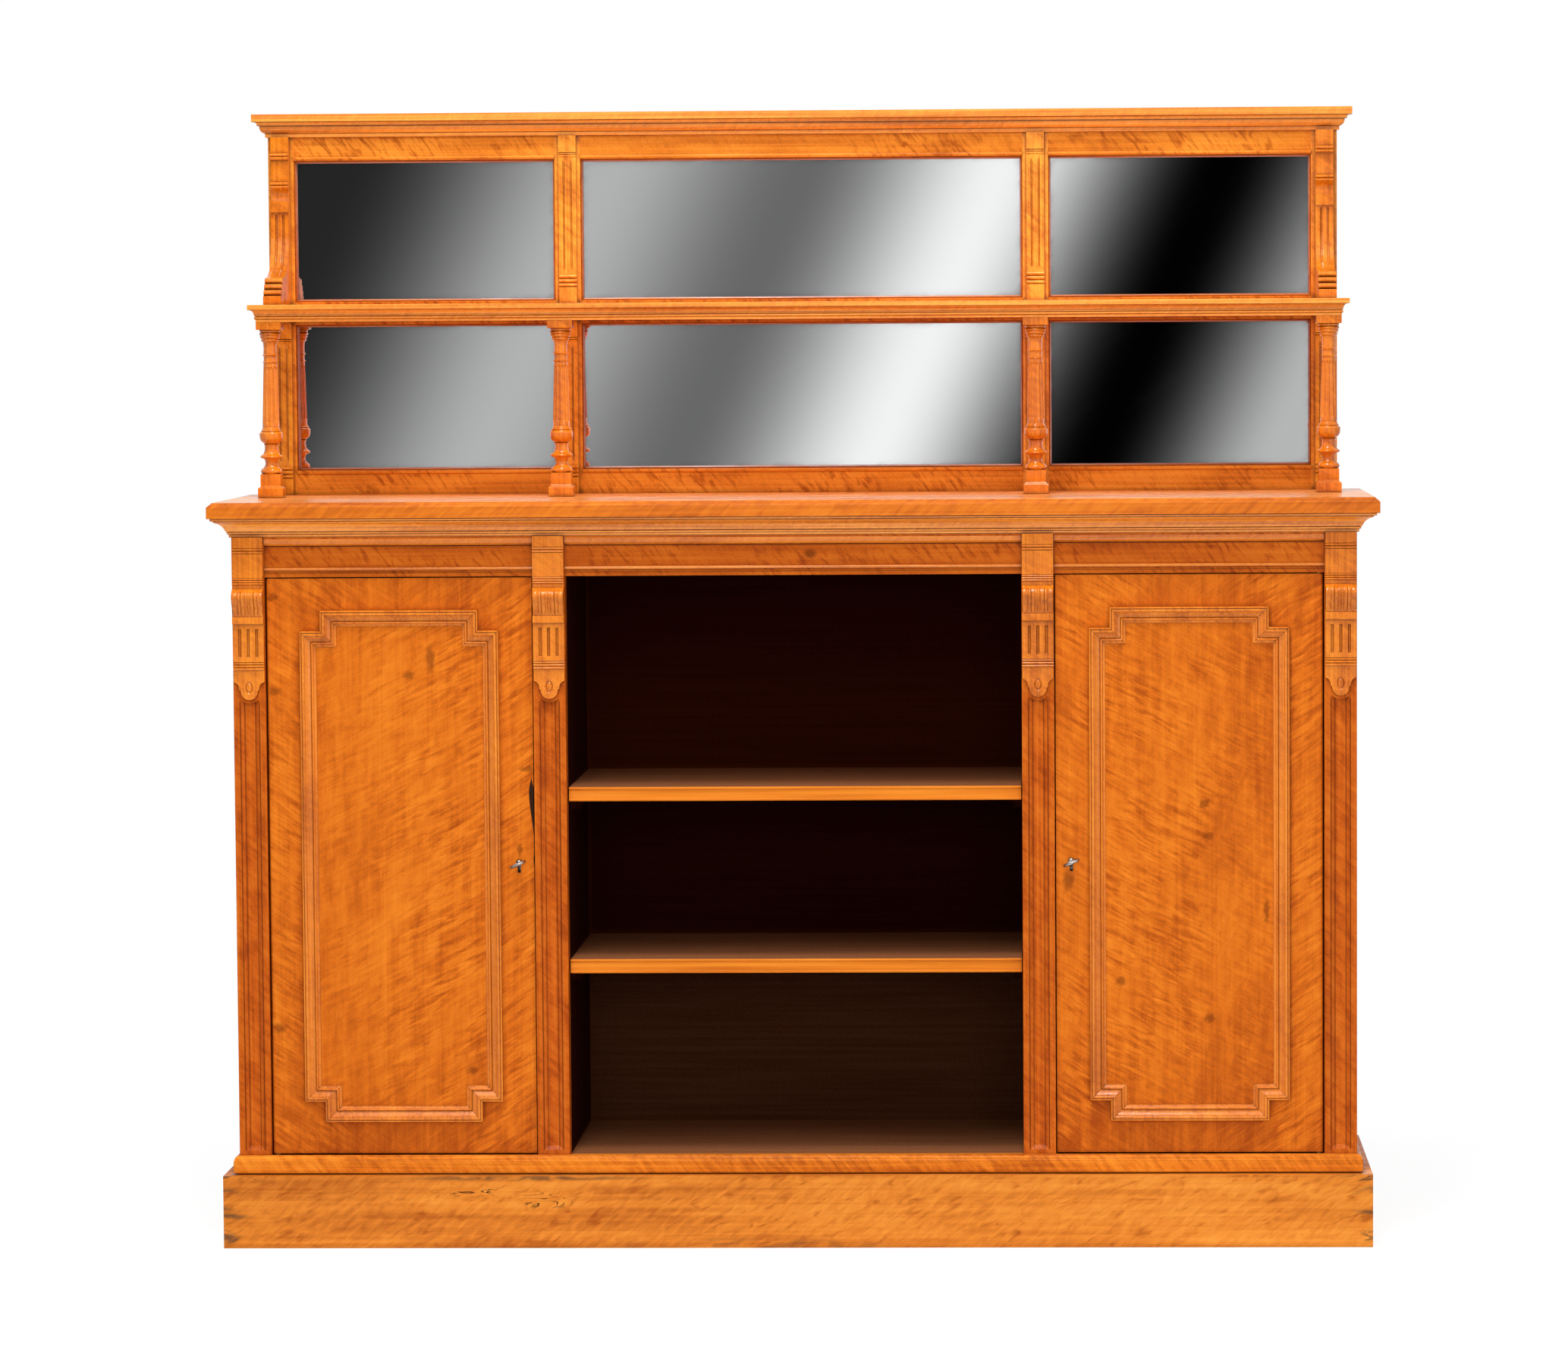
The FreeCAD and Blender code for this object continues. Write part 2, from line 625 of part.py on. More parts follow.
def corbel_foot():
    """Level of the lowest point of the corbel's pendant."""
    stack = CAP_HEIGHT + BAND_HEIGHT + BLOCK_HEIGHT + UPPER_REED_HEIGHT + SCROLL_FILLET + SCROLL_HEIGHT
    stack += LEDGE_HEIGHT + FLUTED_HEIGHT + LOWER_REED_HEIGHT + PLATE_HEIGHT + PENDANT_DROP
    return CORNICE_Z - stack


def make_corbel(middle):
    """Carved corbel: pendant, reeds, fluted panel, scroll, reeds, block and cap."""
    half = PILASTER_WIDTH / 2 - CORBEL_INSET
    foot = corbel_foot()
    shoulder = foot + PENDANT_DROP
    plate_top = shoulder + PLATE_HEIGHT
    fluted = plate_top + LOWER_REED_HEIGHT
    ledge = fluted + FLUTED_HEIGHT
    scroll = ledge + LEDGE_HEIGHT
    fillet = scroll + SCROLL_HEIGHT
    reed = fillet + SCROLL_FILLET
    block = reed + UPPER_REED_HEIGHT
    band = block + BLOCK_HEIGHT
    cap = band + BAND_HEIGHT
    out = CORBEL_FACE
    low = PENDANT_THICK + CORBEL_STEP
    sunk = out - CORBEL_STEP
    profile = [(0, plate_top), (low, plate_top)]
    profile += reeds(low, plate_top, LOWER_REED_HEIGHT, 2)
    brow = out + LEDGE_STEP
    profile += [(sunk, fluted), (sunk, ledge), (brow, ledge), (brow, scroll), (out, scroll)]
    scroll_skin = swelling(out, scroll, SCROLL_HEIGHT, SCROLL_SWELL, SCROLL_FACETS)
    profile += scroll_skin + [(out, reed)]
    profile += [(sunk, reed)] + reeds(sunk, reed, UPPER_REED_HEIGHT, 2)
    profile += [(out, block), (out, band), (sunk, band)] + reeds(sunk, band, BAND_HEIGHT, 2)
    profile += [(out, cap), (out, CORNICE_Z), (0, CORNICE_Z)]
    body = across(profile, middle - half, middle + half, FACE_Y)
    drop = PENDANT_RADIUS
    tongue = outline(
        lambda x, z: Vec(middle + x, FACE_Y - PENDANT_THICK, z),
        (-half, plate_top), (-half, shoulder), (-drop, foot + drop, COVE), (drop, foot + drop, ROUND),
        (half, shoulder, COVE), (half, plate_top),
    ).extrude(Vec(0, PENDANT_THICK, 0))
    cutters = flutes(
        middle, FACE_Y - sunk, fluted + CORBEL_FLUTE_MARGIN, ledge - CORBEL_FLUTE_MARGIN,
        CORBEL_FLUTES, CORBEL_FLUTE_PITCH, CORBEL_FLUTE_HALF,
    )
    depth = SCROLL_GROOVE_DEPTH
    clear = out + 2 * SCROLL_SWELL
    groove = [(out, scroll)] + [(skin[0] - depth, skin[1]) for skin in scroll_skin[:-1]]
    groove += [(out, fillet), (clear, fillet), (clear, scroll)]
    for offset in spread(CORBEL_FLUTES, 2 * SCROLL_GROOVE_WIDTH):
        x0 = middle + offset - SCROLL_GROOVE_WIDTH / 2
        cutters.append(across(groove, x0, x0 + SCROLL_GROOVE_WIDTH, FACE_Y))
    return body.fuse(tongue).removeSplitter().cut(cutters)


def make_corbels():
    """One corbel on each front pilaster."""
    made = {}
    for name, x0 in (("inner", OPENING_HALF), ("outer", OUTER_EDGE_X)):
        corbel = make_corbel(x0 + PILASTER_WIDTH / 2)
        made["left_%s_corbel" % name] = [mirrored(corbel)]
        made["right_%s_corbel" % name] = [corbel]
    return made


def make_friezes():
    """Moulded frieze boards between the pilasters, cut for the upper hinge sockets."""
    bead = FRIEZE_Z + FRIEZE_FOOT
    flat = bead + FRIEZE_BEAD
    cove_top = CORNICE_Z
    cove = cove_top - FRIEZE_COVE_FILLET - FRIEZE_COVE_HEIGHT
    swell = -FRIEZE_BEAD_SWELL / FRIEZE_BEAD
    out = FRIEZE_COVE_OUT
    profile = (
        (-FRIEZE_THICK, FRIEZE_Z), (0, FRIEZE_Z), (0, bead), (0, flat, swell), (0, cove),
        (out, cove + FRIEZE_COVE_HEIGHT, COVE), (out, cove_top), (FRIEZE_RECESS, cove_top),
        (FRIEZE_RECESS, COUNTER_Z), (-FRIEZE_THICK, COUNTER_Z),
    )
    y = FACE_Y + FRIEZE_RECESS
    seat = hinge_plate(FRIEZE_Z, FRIEZE_Z + HINGE_PLATE_THICK)
    right = across(profile, INNER_EDGE_X, OUTER_EDGE_X, y).cut(seat)
    return {
        "left_frieze": [mirrored(right)],
        "centre_frieze": [across(profile, -OPENING_HALF, OPENING_HALF, y)],
        "right_frieze": [right],
    }


def make_counter():
    """Bevelled counter top and the mitred cornice under its edge."""
    edge = COUNTER_Z + TOP_THICK - TOP_BEVEL_RISE
    top = (
        (0, COUNTER_Z), (TOP_OVERHANG, COUNTER_Z), (TOP_OVERHANG, edge),
        (TOP_OVERHANG - TOP_BEVEL_RUN, TOP_Z), (0, TOP_Z),
    )
    out = CORNICE_PROJECTION / 8
    z = [CORNICE_Z + CORNICE_HEIGHT * i / 5 for i in range(6)]
    moulding = (
        (0, z[0]), (out, z[0]), (2 * out, z[1], OVOLO), (3 * out, z[1]), (4 * out, z[2], COVE),
        (6 * out, z[3], OVOLO), (7 * out, z[3]), (7 * out, z[4]), (8 * out, z[4]), (8 * out, z[5]), (0, z[5]),
    )
    return {
        "counter_top": [moulded_board(top, HALF_WIDTH, FACE_Y, BACK_Y)],
        "counter_cornice": mitred_runs(moulding, HALF_WIDTH, FACE_Y, BACK_Y),
    }


def make_door():
    """Flush door, its hinge arris rounded to clear the pilaster, cut for its lock, keyhole and pivots."""
    low, high = DOOR_BOTTOM_Z, DOOR_TOP_Z
    x, y = DOOR_HINGE_X - HINGE_ARRIS, DOOR_FACE_Y + HINGE_ARRIS
    slab = board(DOOR_LOCK_X, x, DOOR_FACE_Y, DOOR_BACK_Y, low, high)
    edge = board(x, DOOR_HINGE_X, y, DOOR_BACK_Y, low, high)
    arris = Part.makeCylinder(HINGE_ARRIS, high - low, Vec(x, y, low))
    slab = slab.fuse([edge, arris]).removeSplitter()
    cutters = [lock_box(), keyhole(DOOR_FACE_Y, LOCK_FRONT_Y)]
    for z in (low, high - HINGE_PLATE_THICK):
        cutters.append(hinge_plate(z, z + HINGE_PLATE_THICK))
    return slab.cut(cutters)


def lock_box():
    """Outside of the lock case, flush with the door's back and lock edge."""
    return board(
        DOOR_LOCK_X, DOOR_LOCK_X + LOCK_LENGTH, LOCK_FRONT_Y, DOOR_BACK_Y,
        KEY_HEIGHT - LOCK_BELOW, KEY_HEIGHT + LOCK_ABOVE,
    )


def keyhole(y0, y1):
    """Round hole with a slot under it, through the wood or the case."""
    eye = rod(KEYHOLE_RADIUS, Vec(KEY_X, y0, KEY_HEIGHT), INWARD, y1 - y0)
    half = KEYHOLE_SLOT_WIDTH / 2
    slot = board(KEY_X - half, KEY_X + half, y0, y1, KEY_HEIGHT - KEYHOLE_SLOT_DROP, KEY_HEIGHT)
    return eye.fuse(slot)


def make_lock_case():
    """Hollow case with a keyhole, a bolt slot in its edge and the pin that the key turns on."""
    wall = LOCK_WALL
    outside = lock_box()
    room = outside.BoundBox
    inside = board(
        room.XMin + wall, room.XMax - wall, room.YMin + wall, room.YMax - wall,
        room.ZMin + wall, room.ZMax - wall,
    )
    gap = BOLT_SIDE_CLEARANCE
    slot = board(
        room.XMin, room.XMin + wall, BOLT_Y - gap, BOLT_Y + BOLT_THICK + gap,
        BOLT_Z - gap, BOLT_Z + BOLT_HEIGHT + gap,
    )
    pin = rod(KEY_PIN_RADIUS, Vec(KEY_X, BOLT_Y, KEY_HEIGHT), INWARD, room.YMax - wall - BOLT_Y)
    return outside.cut([inside, slot, keyhole(room.YMin, room.YMin + wall)]).fuse(pin).removeSplitter()


def make_bolt(turn_to_top):
    """Sliding bolt whose talon is over the key once the bit has turned to the top."""
    x0 = DOOR_LOCK_X + BOLT_SETBACK
    bar = board(x0, x0 + BOLT_TAIL, BOLT_Y, BOLT_Y + BOLT_THICK, BOLT_Z, BOLT_Z + BOLT_HEIGHT)
    middle = KEY_X + BOLT_THROW * turn_to_top / KEY_TURN
    half = TALON_WIDTH / 2
    talon = board(middle - half, middle + half, BOLT_Y, BOLT_Y + BOLT_THICK, BOLT_Z, BOLT_Z + TALON_DEPTH)
    return bar.cut(talon)


def make_key(tilt):
    """Pipe key in the lock: bow, collared shank and bit, tilted about its own axis."""
    tail_y = DOOR_BACK_Y - LOCK_WALL - KEY_CLEARANCE
    collar_y = DOOR_FACE_Y - KEY_CLEARANCE - KEY_COLLAR_LENGTH
    bow_y = collar_y - KEY_STEM
    shank = rod(KEY_SHANK_RADIUS, Vec(0, bow_y, 0), INWARD, tail_y - bow_y)
    collar = rod(KEY_COLLAR_RADIUS, Vec(0, collar_y, 0), INWARD, KEY_COLLAR_LENGTH)
    bit_y = BOLT_Y + BOLT_THICK / 2 - KEY_BIT_LENGTH / 2
    half = KEY_BIT_THICK / 2
    bit = board(0, KEY_BIT_RADIUS, bit_y, bit_y + KEY_BIT_LENGTH, -half, half)
    eye = Vec(0, bow_y - BOW_RADIUS + BOW_RIM / 2, -BOW_THICK / 2)
    bow = rod(BOW_RADIUS, eye, UP, BOW_THICK, BOW_SIDES)
    bow = bow.cut(rod(BOW_RADIUS - BOW_RIM, eye, UP, BOW_THICK, BOW_SIDES))
    drill_y = BOLT_Y - KEY_CLEARANCE
    drill = rod(KEY_PIN_RADIUS + RUNNING_CLEARANCE, Vec(0, drill_y, 0), INWARD, tail_y - drill_y)
    key = shank.fuse([collar, bit, bow]).removeSplitter().cut(drill)
    key.rotate(Vec(0, 0, 0), Vec(0, -1, 0), tilt)
    return key


def make_doors():
    """Both doors with their applied moulding, locks, bolts and keys."""
    panel = make_door()
    case = make_lock_case()
    x0, x1 = DOOR_LOCK_X + MOULD_SIDE_MARGIN, DOOR_HINGE_X - MOULD_SIDE_MARGIN
    z0, z1 = DOOR_BOTTOM_Z + MOULD_END_MARGIN, DOOR_TOP_Z - MOULD_END_MARGIN
    n = MOULD_NOTCH
    corners = [
        (x0 + n, z0), (x1 - n, z0), (x1 - n, z0 + n), (x1, z0 + n), (x1, z1 - n), (x1 - n, z1 - n),
        (x1 - n, z1), (x0 + n, z1), (x0 + n, z1 - n), (x0, z1 - n), (x0, z0 + n), (x0 + n, z0 + n),
    ]
    w, h = MOULD_WIDTH / 8, MOULD_HEIGHT / 4
    profile = (
        (0, 0), (0, 3 * h), (w / 2, 4 * h), (2 * w, 4 * h), (2.5 * w, 3 * h), (5 * w, 1.5 * h),
        (6 * w, 2.5 * h), (7 * w, 1.5 * h), (8 * w, h), (8 * w, 0),
    )
    moulding = framed_moulding(corners, profile, DOOR_FACE_Y)
    right_key = make_key(KEY_TILT)
    right_key.translate(Vec(KEY_X, 0, KEY_HEIGHT))
    left_key = make_key(KEY_TURN + KEY_TILT)
    left_key.translate(Vec(-KEY_X, 0, KEY_HEIGHT))
    quarter = 90.0
    return {
        "right_door_panel": [panel],
        "right_door_moulding": moulding,
        "right_lock_case": [case],
        "right_lock_bolt": [make_bolt(quarter - KEY_TILT)],
        "right_key": [right_key],
        "left_door_panel": [mirrored(panel)],
        "left_door_moulding": [mirrored(length) for length in moulding],
        "left_lock_case": [mirrored(case)],
        "left_lock_bolt": [mirrored(make_bolt(quarter + KEY_TILT))],
        "left_key": [left_key],
    }


def make_gallery_frame():
    """Stiles, rails, friezes, mirrors with their beads, and the board behind them."""
    half = STILE_WIDTH / 2
    stiles = []
    for x in STILE_CENTRES:
        stiles.append(board(x - half, x + half, GALLERY_FACE_Y, GALLERY_BACK_Y, TOP_Z, GALLERY_CORNICE_Z))
    deep = -GALLERY_FRAME_THICK
    swell = -RAIL_BEAD_SWELL / RAIL_BEAD
    foot_top = TOP_Z + BOTTOM_RAIL_HEIGHT
    foot = (
        (deep, TOP_Z), (0, TOP_Z), (0, foot_top - RAIL_BEAD), (0, foot_top, swell), (deep, foot_top),
    )
    head = (
        (deep, GALLERY_FRIEZE_Z), (0, GALLERY_FRIEZE_Z), (0, GALLERY_FRIEZE_Z + RAIL_BEAD, swell),
        (0, GALLERY_CORNICE_Z), (deep, GALLERY_CORNICE_Z),
    )
    bead = (
        (0, 0), (0, MIRROR_BEAD_HEIGHT), (MIRROR_BEAD_WIDTH / 2, MIRROR_BEAD_HEIGHT),
        (MIRROR_BEAD_WIDTH, MIRROR_BEAD_HEIGHT / 3), (MIRROR_BEAD_WIDTH, 0),
    )
    made = {"gallery_stiles": stiles, "gallery_rails": [], "gallery_friezes": [], "mirror_beads": []}
    for x0, x1 in BAYS:
        made["gallery_rails"].append(across(foot, x0, x1, GALLERY_FACE_Y))
        middle = board(x0, x1, GALLERY_FACE_Y, GALLERY_BACK_Y, MIRROR_TIERS[0][1], MIRROR_TIERS[1][0])
        made["gallery_rails"].append(middle)
        made["gallery_friezes"].append(across(head, x0, x1, GALLERY_FACE_Y))
        for name, (z0, z1) in zip(MIRROR_NAMES, MIRROR_TIERS):
            made.setdefault(name, []).append(board(x0, x1, MIRROR_FACE_Y, GALLERY_BACK_Y, z0, z1))
            made["mirror_beads"] += framed_moulding(rectangle(x0, x1, z0, z1), bead, MIRROR_FACE_Y)
    made["gallery_backboard"] = [
        board(-GALLERY_HALF, GALLERY_HALF, GALLERY_BACK_Y, BACK_Y, TOP_Z, GALLERY_CORNICE_Z)
    ]
    return made


def make_gallery_boards():
    """Moulded shelf on the columns and moulded cornice board on the top of the frame."""
    lip = GALLERY_SHELF_LIP
    out = GALLERY_SHELF_MOULD / 6
    z0, z1 = GALLERY_SHELF_Z, GALLERY_SHELF_TOP_Z
    step = (GALLERY_SHELF_THICK - lip) / 6
    shelf = (
        (0, z0), (out, z0), (out, z0 + step), *reeds(out, z0 + step, 2 * step, 1), (2 * out, z0 + 3 * step),
        (5 * out, z1 - lip, COVE), (6 * out, z1 - lip), (6 * out, z1), (0, z1),
    )
    half = GALLERY_HALF + GALLERY_SHELF_SIDE - GALLERY_SHELF_MOULD
    front = GALLERY_FACE_Y - GALLERY_SHELF_FRONT + GALLERY_SHELF_MOULD
    reach = GALLERY_CORNICE_OUT / 6
    z = [GALLERY_CORNICE_Z + GALLERY_CORNICE_HEIGHT * i / 6 for i in range(7)]
    cornice = (
        (0, z[0]), (reach, z[0]), (reach, z[1]), (3 * reach, z[3], OVOLO), (4 * reach, z[3]),
        (5 * reach, z[4], COVE), (6 * reach, z[4]), (6 * reach, z[6]), (0, z[6]),
    )
    return {
        "gallery_shelf": [moulded_board(shelf, half, front, GALLERY_FACE_Y)],
        "gallery_cornice": [moulded_board(cornice, GALLERY_HALF, GALLERY_FACE_Y, BACK_Y)],
    }


def ring(radius, z, sides=COLUMN_SIDES, hollow=1.0, start=0.0):
    """Corners of a many-sided ring about the column's axis, every other one drawn in where it is hollow."""
    corners = []
    for i in range(sides):
        reach = radius * hollow if i % 2 else radius
        angle = start + 2 * math.pi * i / sides
        corners.append(Vec(reach * math.cos(angle), reach * math.sin(angle), z))
    return corners


def square(width, z):
    """Corners of a square about the column's axis."""
    return ring(width / math.sqrt(2), z, 4, 1.0, math.pi / 4)


def stacked(rings):
    """Solid with flat faces through rings of corners, listed upwards."""
    faces = [Part.Face(Part.makePolygon(end + end[:1])) for end in (rings[0], rings[-1])]
    for low, high in zip(rings, rings[1:]):
        for i in range(len(low)):
            faces.append(Part.Face(Part.makePolygon([low[i - 1], low[i], high[i], high[i - 1], low[i - 1]])))
    solid = Part.Solid(Part.Shell(faces))
    return solid if solid.Volume > 0 else solid.reversed()


def make_column():
    """Turned column: square plinth, turned base and bulb, fluted shaft, capital and square cap."""
    rim, hollow = COLUMN_TORUS_RADIUS - COLUMN_TORUS_SWELL, COLUMN_CAVETTO_RADIUS
    ring_height = COLUMN_RING_HEIGHT
    throat = COLUMN_RING_RADIUS - COLUMN_RING_SWELL
    slope = COLUMN_SLOPE
    z = COLUMN_BLOCK_HEIGHT
    base = []
    for _ in range(2):
        base += [(rim, z)] + swelling(rim, z, COLUMN_TORUS_HEIGHT, COLUMN_TORUS_SWELL, 3)
        z += COLUMN_TORUS_HEIGHT
        rise = COLUMN_CAVETTO_HEIGHT - 2 * slope
        base += [(hollow, z + slope)] + swelling(hollow, z + slope, rise, -COLUMN_CAVETTO_SINK, 2)
        z += COLUMN_CAVETTO_HEIGHT
    swell = COLUMN_BULB_RADIUS - throat
    base += [(throat, z)] + swelling(throat, z, COLUMN_BULB_HEIGHT, swell, COLUMN_BULB_FACETS)
    z += COLUMN_BULB_HEIGHT
    base += swelling(throat, z, ring_height, COLUMN_RING_SWELL, 2)
    foot_z = z + ring_height
    z = foot_z + SHAFT_HEIGHT
    head = SHAFT_HEAD_RADIUS
    fluted = [(SHAFT_FOOT_RADIUS, foot_z), (head, z)]
    shaft = stacked([ring(*level, 2 * SHAFT_FLUTES, SHAFT_HOLLOW) for level in fluted])
    capital = [(head, z)]
    for _ in range(2):
        capital += swelling(head, z, ring_height, COLUMN_RING_SWELL, 2)
        z += 2 * ring_height
        capital.append((head, z))
    z += COLUMN_NECK_HEIGHT
    capital.append((head, z))
    z += COLUMN_ECHINUS_HEIGHT
    capital += [(CAP_RING_RADIUS, z), (CAP_RING_RADIUS, z + CAP_RING_HEIGHT)]
    cap_z = z + CAP_RING_HEIGHT
    wide, neck = COLUMN_BLOCK_WIDTH, COLUMN_BLOCK_NECK
    splay_top = COLUMN_BLOCK_SQUARE + COLUMN_BLOCK_SPLAY
    block = ((wide, 0), (wide, COLUMN_BLOCK_SQUARE), (neck, splay_top), (neck, COLUMN_BLOCK_HEIGHT))
    top = ((CAP_BLOCK_WIDTH, cap_z), (CAP_BLOCK_WIDTH, COLUMN_HEIGHT))
    blocks = [stacked([square(*level) for level in levels]) for levels in (block, top)]
    turned = [stacked([ring(*level) for level in levels]) for levels in (base, capital)]
    return shaft.fuse(blocks + turned)


def make_columns():
    """The same column under the shelf in front of each stile."""
    column = make_column()
    made = {}
    names = ("left_outer_column", "left_inner_column", "right_inner_column", "right_outer_column")
    for name, x in zip(names, STILE_CENTRES):
        made[name] = [column.copy()]
        made[name][0].translate(Vec(x, GALLERY_FACE_Y - COLUMN_OUT, TOP_Z))
    return made


def make_strip(x, z0, z1):
    """Flat pilaster with two flutes between a reeded base and a banded cap."""
    out = STRIP_BLOCK_OUT
    face = STRIP_FACE
    base = z0 + STRIP_BASE_BLOCK
    foot = base + 3 * STRIP_REED
    cap = z1 - STRIP_CAP_BLOCK
    neck = cap - STRIP_BAND
    profile = [(0, z0), (out, z0), (out, base), (face, base)]
    profile += reeds(face, base, 3 * STRIP_REED, 3)
    profile += [(face, neck)] + reeds(face, neck, STRIP_BAND, 2)
    profile += [(out, cap), (out, z1), (0, z1)]
    half = STRIP_WIDTH / 2
    strip = across(profile, x - half, x + half, GALLERY_FACE_Y)
    cutters = flutes(
        x, GALLERY_FACE_Y - face, foot + STRIP_FLUTE_MARGIN, neck - STRIP_FLUTE_MARGIN,
        STRIP_FLUTES, STRIP_FLUTE_PITCH, STRIP_FLUTE_HALF,
    )
    return strip.cut(cutters)


def make_bracket():
    """End bracket: banded head, block, and a grooved sweep down to a reeded foot that steps forward."""
    z0 = GALLERY_SHELF_TOP_Z
    z1 = GALLERY_CORNICE_Z
    head = BRACKET_HEAD_OUT
    step = BRACKET_STEP
    top = z1 - BRACKET_TOP_BLOCK
    block = top - 2 * BRACKET_BAND - BRACKET_PLAIN - BRACKET_COVE - BRACKET_BLOCK
    cove = block + BRACKET_BLOCK
    band = cove + BRACKET_COVE
    plain = band + BRACKET_BAND
    toe = BRACKET_FOOT_OUT
    foot_top = z0 + BRACKET_FOOT_BLOCK
    profile = [(0, z0), (toe, z0), (toe, foot_top)]
    for _ in range(BRACKET_FOOT_REEDS):
        toe -= BRACKET_FOOT_STEP
        profile += [(toe, foot_top)] + reeds(toe, foot_top, BRACKET_FOOT_REED, 1)
        foot_top += BRACKET_FOOT_REED
    toe -= BRACKET_FOOT_STEP
    bend = foot_top + BRACKET_BEND
    profile += [(toe, foot_top), (head, bend, COVE), (head, block), (head + step, block)]
    profile += [(head + step, cove), (head - step, cove)]
    profile += [(head, band, COVE)] + reeds(head, band, BRACKET_BAND, 2)
    profile += [(head - step, plain), (head - step, plain + BRACKET_PLAIN), (head, plain + BRACKET_PLAIN)]
    profile += reeds(head, plain + BRACKET_PLAIN, BRACKET_BAND, 2)
    profile += [(head - step, top), (head - step, z1), (0, z1)]
    half = BRACKET_THICK / 2
    bracket = across(profile, OUTER_STILE_X - half, OUTER_STILE_X + half, GALLERY_FACE_Y)
    depth = BRACKET_GROOVE_DEPTH
    low, high = foot_top + depth, block - depth
    groove = (
        (toe - 2 * depth, low), (head - depth, bend, COVE), (head - depth, high),
        (BRACKET_FOOT_OUT, high), (BRACKET_FOOT_OUT, low),
    )
    cutters = []
    for offset in spread(2, BRACKET_GROOVE_PITCH):
        x = OUTER_STILE_X + offset - BRACKET_GROOVE_WIDTH / 2
        cutters.append(across(groove, x, x + BRACKET_GROOVE_WIDTH, GALLERY_FACE_Y))
    return bracket.cut(cutters)


def make_gallery_ornament():
    """Pilasters on the stiles of both tiers and the brackets at the ends of the upper one."""
    bracket = make_bracket()
    return {
        "lower_pilasters": [make_strip(x, TOP_Z, GALLERY_SHELF_Z) for x in STILE_CENTRES],
        "upper_pilasters": [
            make_strip(x, GALLERY_SHELF_TOP_Z, GALLERY_CORNICE_Z) for x in STILE_CENTRES[1:3]
        ],
        "gallery_brackets": [mirrored(bracket), bracket],
    }


def main():
    """Build every piece and write one file per node."""
    makers = (
        make_plinth, make_base, make_hinges, make_carcass, make_shelves, make_pilasters, make_corbels,
        make_friezes, make_counter, make_doors, make_gallery_frame, make_gallery_boards, make_columns,
        make_gallery_ornament,
    )
    os.makedirs("parts", exist_ok=True)
    for maker in makers:
        for node, solids in maker().items():
            pieces = [solid for shape in solids for solid in shape.Solids]
            shape = pieces[0] if len(pieces) == 1 else Part.makeCompound(pieces)
            shape.exportStep("parts/%s.step" % node)


main()
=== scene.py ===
import math

import bpy
from mathutils import Matrix, Vector


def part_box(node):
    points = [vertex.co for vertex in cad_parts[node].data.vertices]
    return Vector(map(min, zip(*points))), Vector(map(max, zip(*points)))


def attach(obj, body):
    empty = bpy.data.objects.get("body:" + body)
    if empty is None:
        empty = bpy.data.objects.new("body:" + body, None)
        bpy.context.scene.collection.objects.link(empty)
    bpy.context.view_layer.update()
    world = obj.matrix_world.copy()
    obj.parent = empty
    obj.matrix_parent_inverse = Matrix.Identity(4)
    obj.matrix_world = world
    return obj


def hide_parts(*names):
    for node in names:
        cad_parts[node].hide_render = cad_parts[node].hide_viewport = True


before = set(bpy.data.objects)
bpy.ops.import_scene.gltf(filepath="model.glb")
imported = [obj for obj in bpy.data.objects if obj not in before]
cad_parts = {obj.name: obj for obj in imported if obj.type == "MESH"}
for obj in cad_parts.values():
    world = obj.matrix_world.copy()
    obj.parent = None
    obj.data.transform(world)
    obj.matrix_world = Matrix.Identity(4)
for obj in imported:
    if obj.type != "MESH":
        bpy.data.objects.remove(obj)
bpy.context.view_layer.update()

MM = 0.001

# Camera, fitted to the photograph: place in metres, angles in radians, lengths in pixels
IMAGE_WIDTH = 2067.0
IMAGE_HEIGHT = 1792.0
CAMERA_PLACE = (0.34726, -7.96692, 1.21743)
CAMERA_YAW = 0.0343
CAMERA_PITCH = 0.0726
CAMERA_ROLL = -0.0064
FOCAL_PIXELS = 7861.0
CENTRE_PIXEL = (1126.4, 995.0)
SENSOR_WIDTH = 36.0

# Wood tones, linear
DOOR_TONE = (0.69, 0.155, 0.008)
CASE_TONE = (0.57, 0.108, 0.006)
CARVED_TONE = (0.76, 0.195, 0.008)
MOULDING_TONE = (0.78, 0.205, 0.012)
CORNICE_TONE = (0.95, 0.300, 0.034)
FRIEZE_TONE = (0.56, 0.112, 0.006)
PLINTH_TONE = (0.76, 0.235, 0.026)
TOP_TONE = (0.68, 0.160, 0.008)
# Upper face of the counter: painted sheen, with some dust and wear
TOP_FACE_SHEEN_TONE = (0.86, 0.310, 0.072)
# Lighter tones of the gallery's friezes, rails and stiles: painted light for the lamp light the gallery shelf
# keeps off
GALLERY_LIT_TONE = (0.77, 0.222, 0.018)
STILE_LIT_TONE = (0.92, 0.300, 0.022)
BEAD_TONE = (0.42, 0.090, 0.006)
INNER_TONE = (0.019, 0.0023, 0.0006)
# Painted light on the back of the bays: low in the upper bay, and in the bottom bay
LIT_BAY_FOOT_TONE = (0.036, 0.0055, 0.0012)
LIT_FLOOR_BAY_TONE = (0.058, 0.019, 0.007)
SHELF_TONE = (0.270, 0.096, 0.037)
LIP_TONE = (0.80, 0.228, 0.020)
BACK_TONE = (0.34, 0.165, 0.066)
# Colour of corners and undersides of edges: painted shade, with dirt
CORNER_SHADE_AND_DIRT = (0.080, 0.013, 0.001)
# Colour of knots and stains, also given to painted shade along the pilasters' panels
KNOT_AND_SHADE = (0.130, 0.020, 0.001)
# Colour of cracks, also given to painted shadow lines
CRACK_AND_SHADOW = (0.030, 0.010, 0.003)
BARE_WOOD = (0.150, 0.066, 0.026)

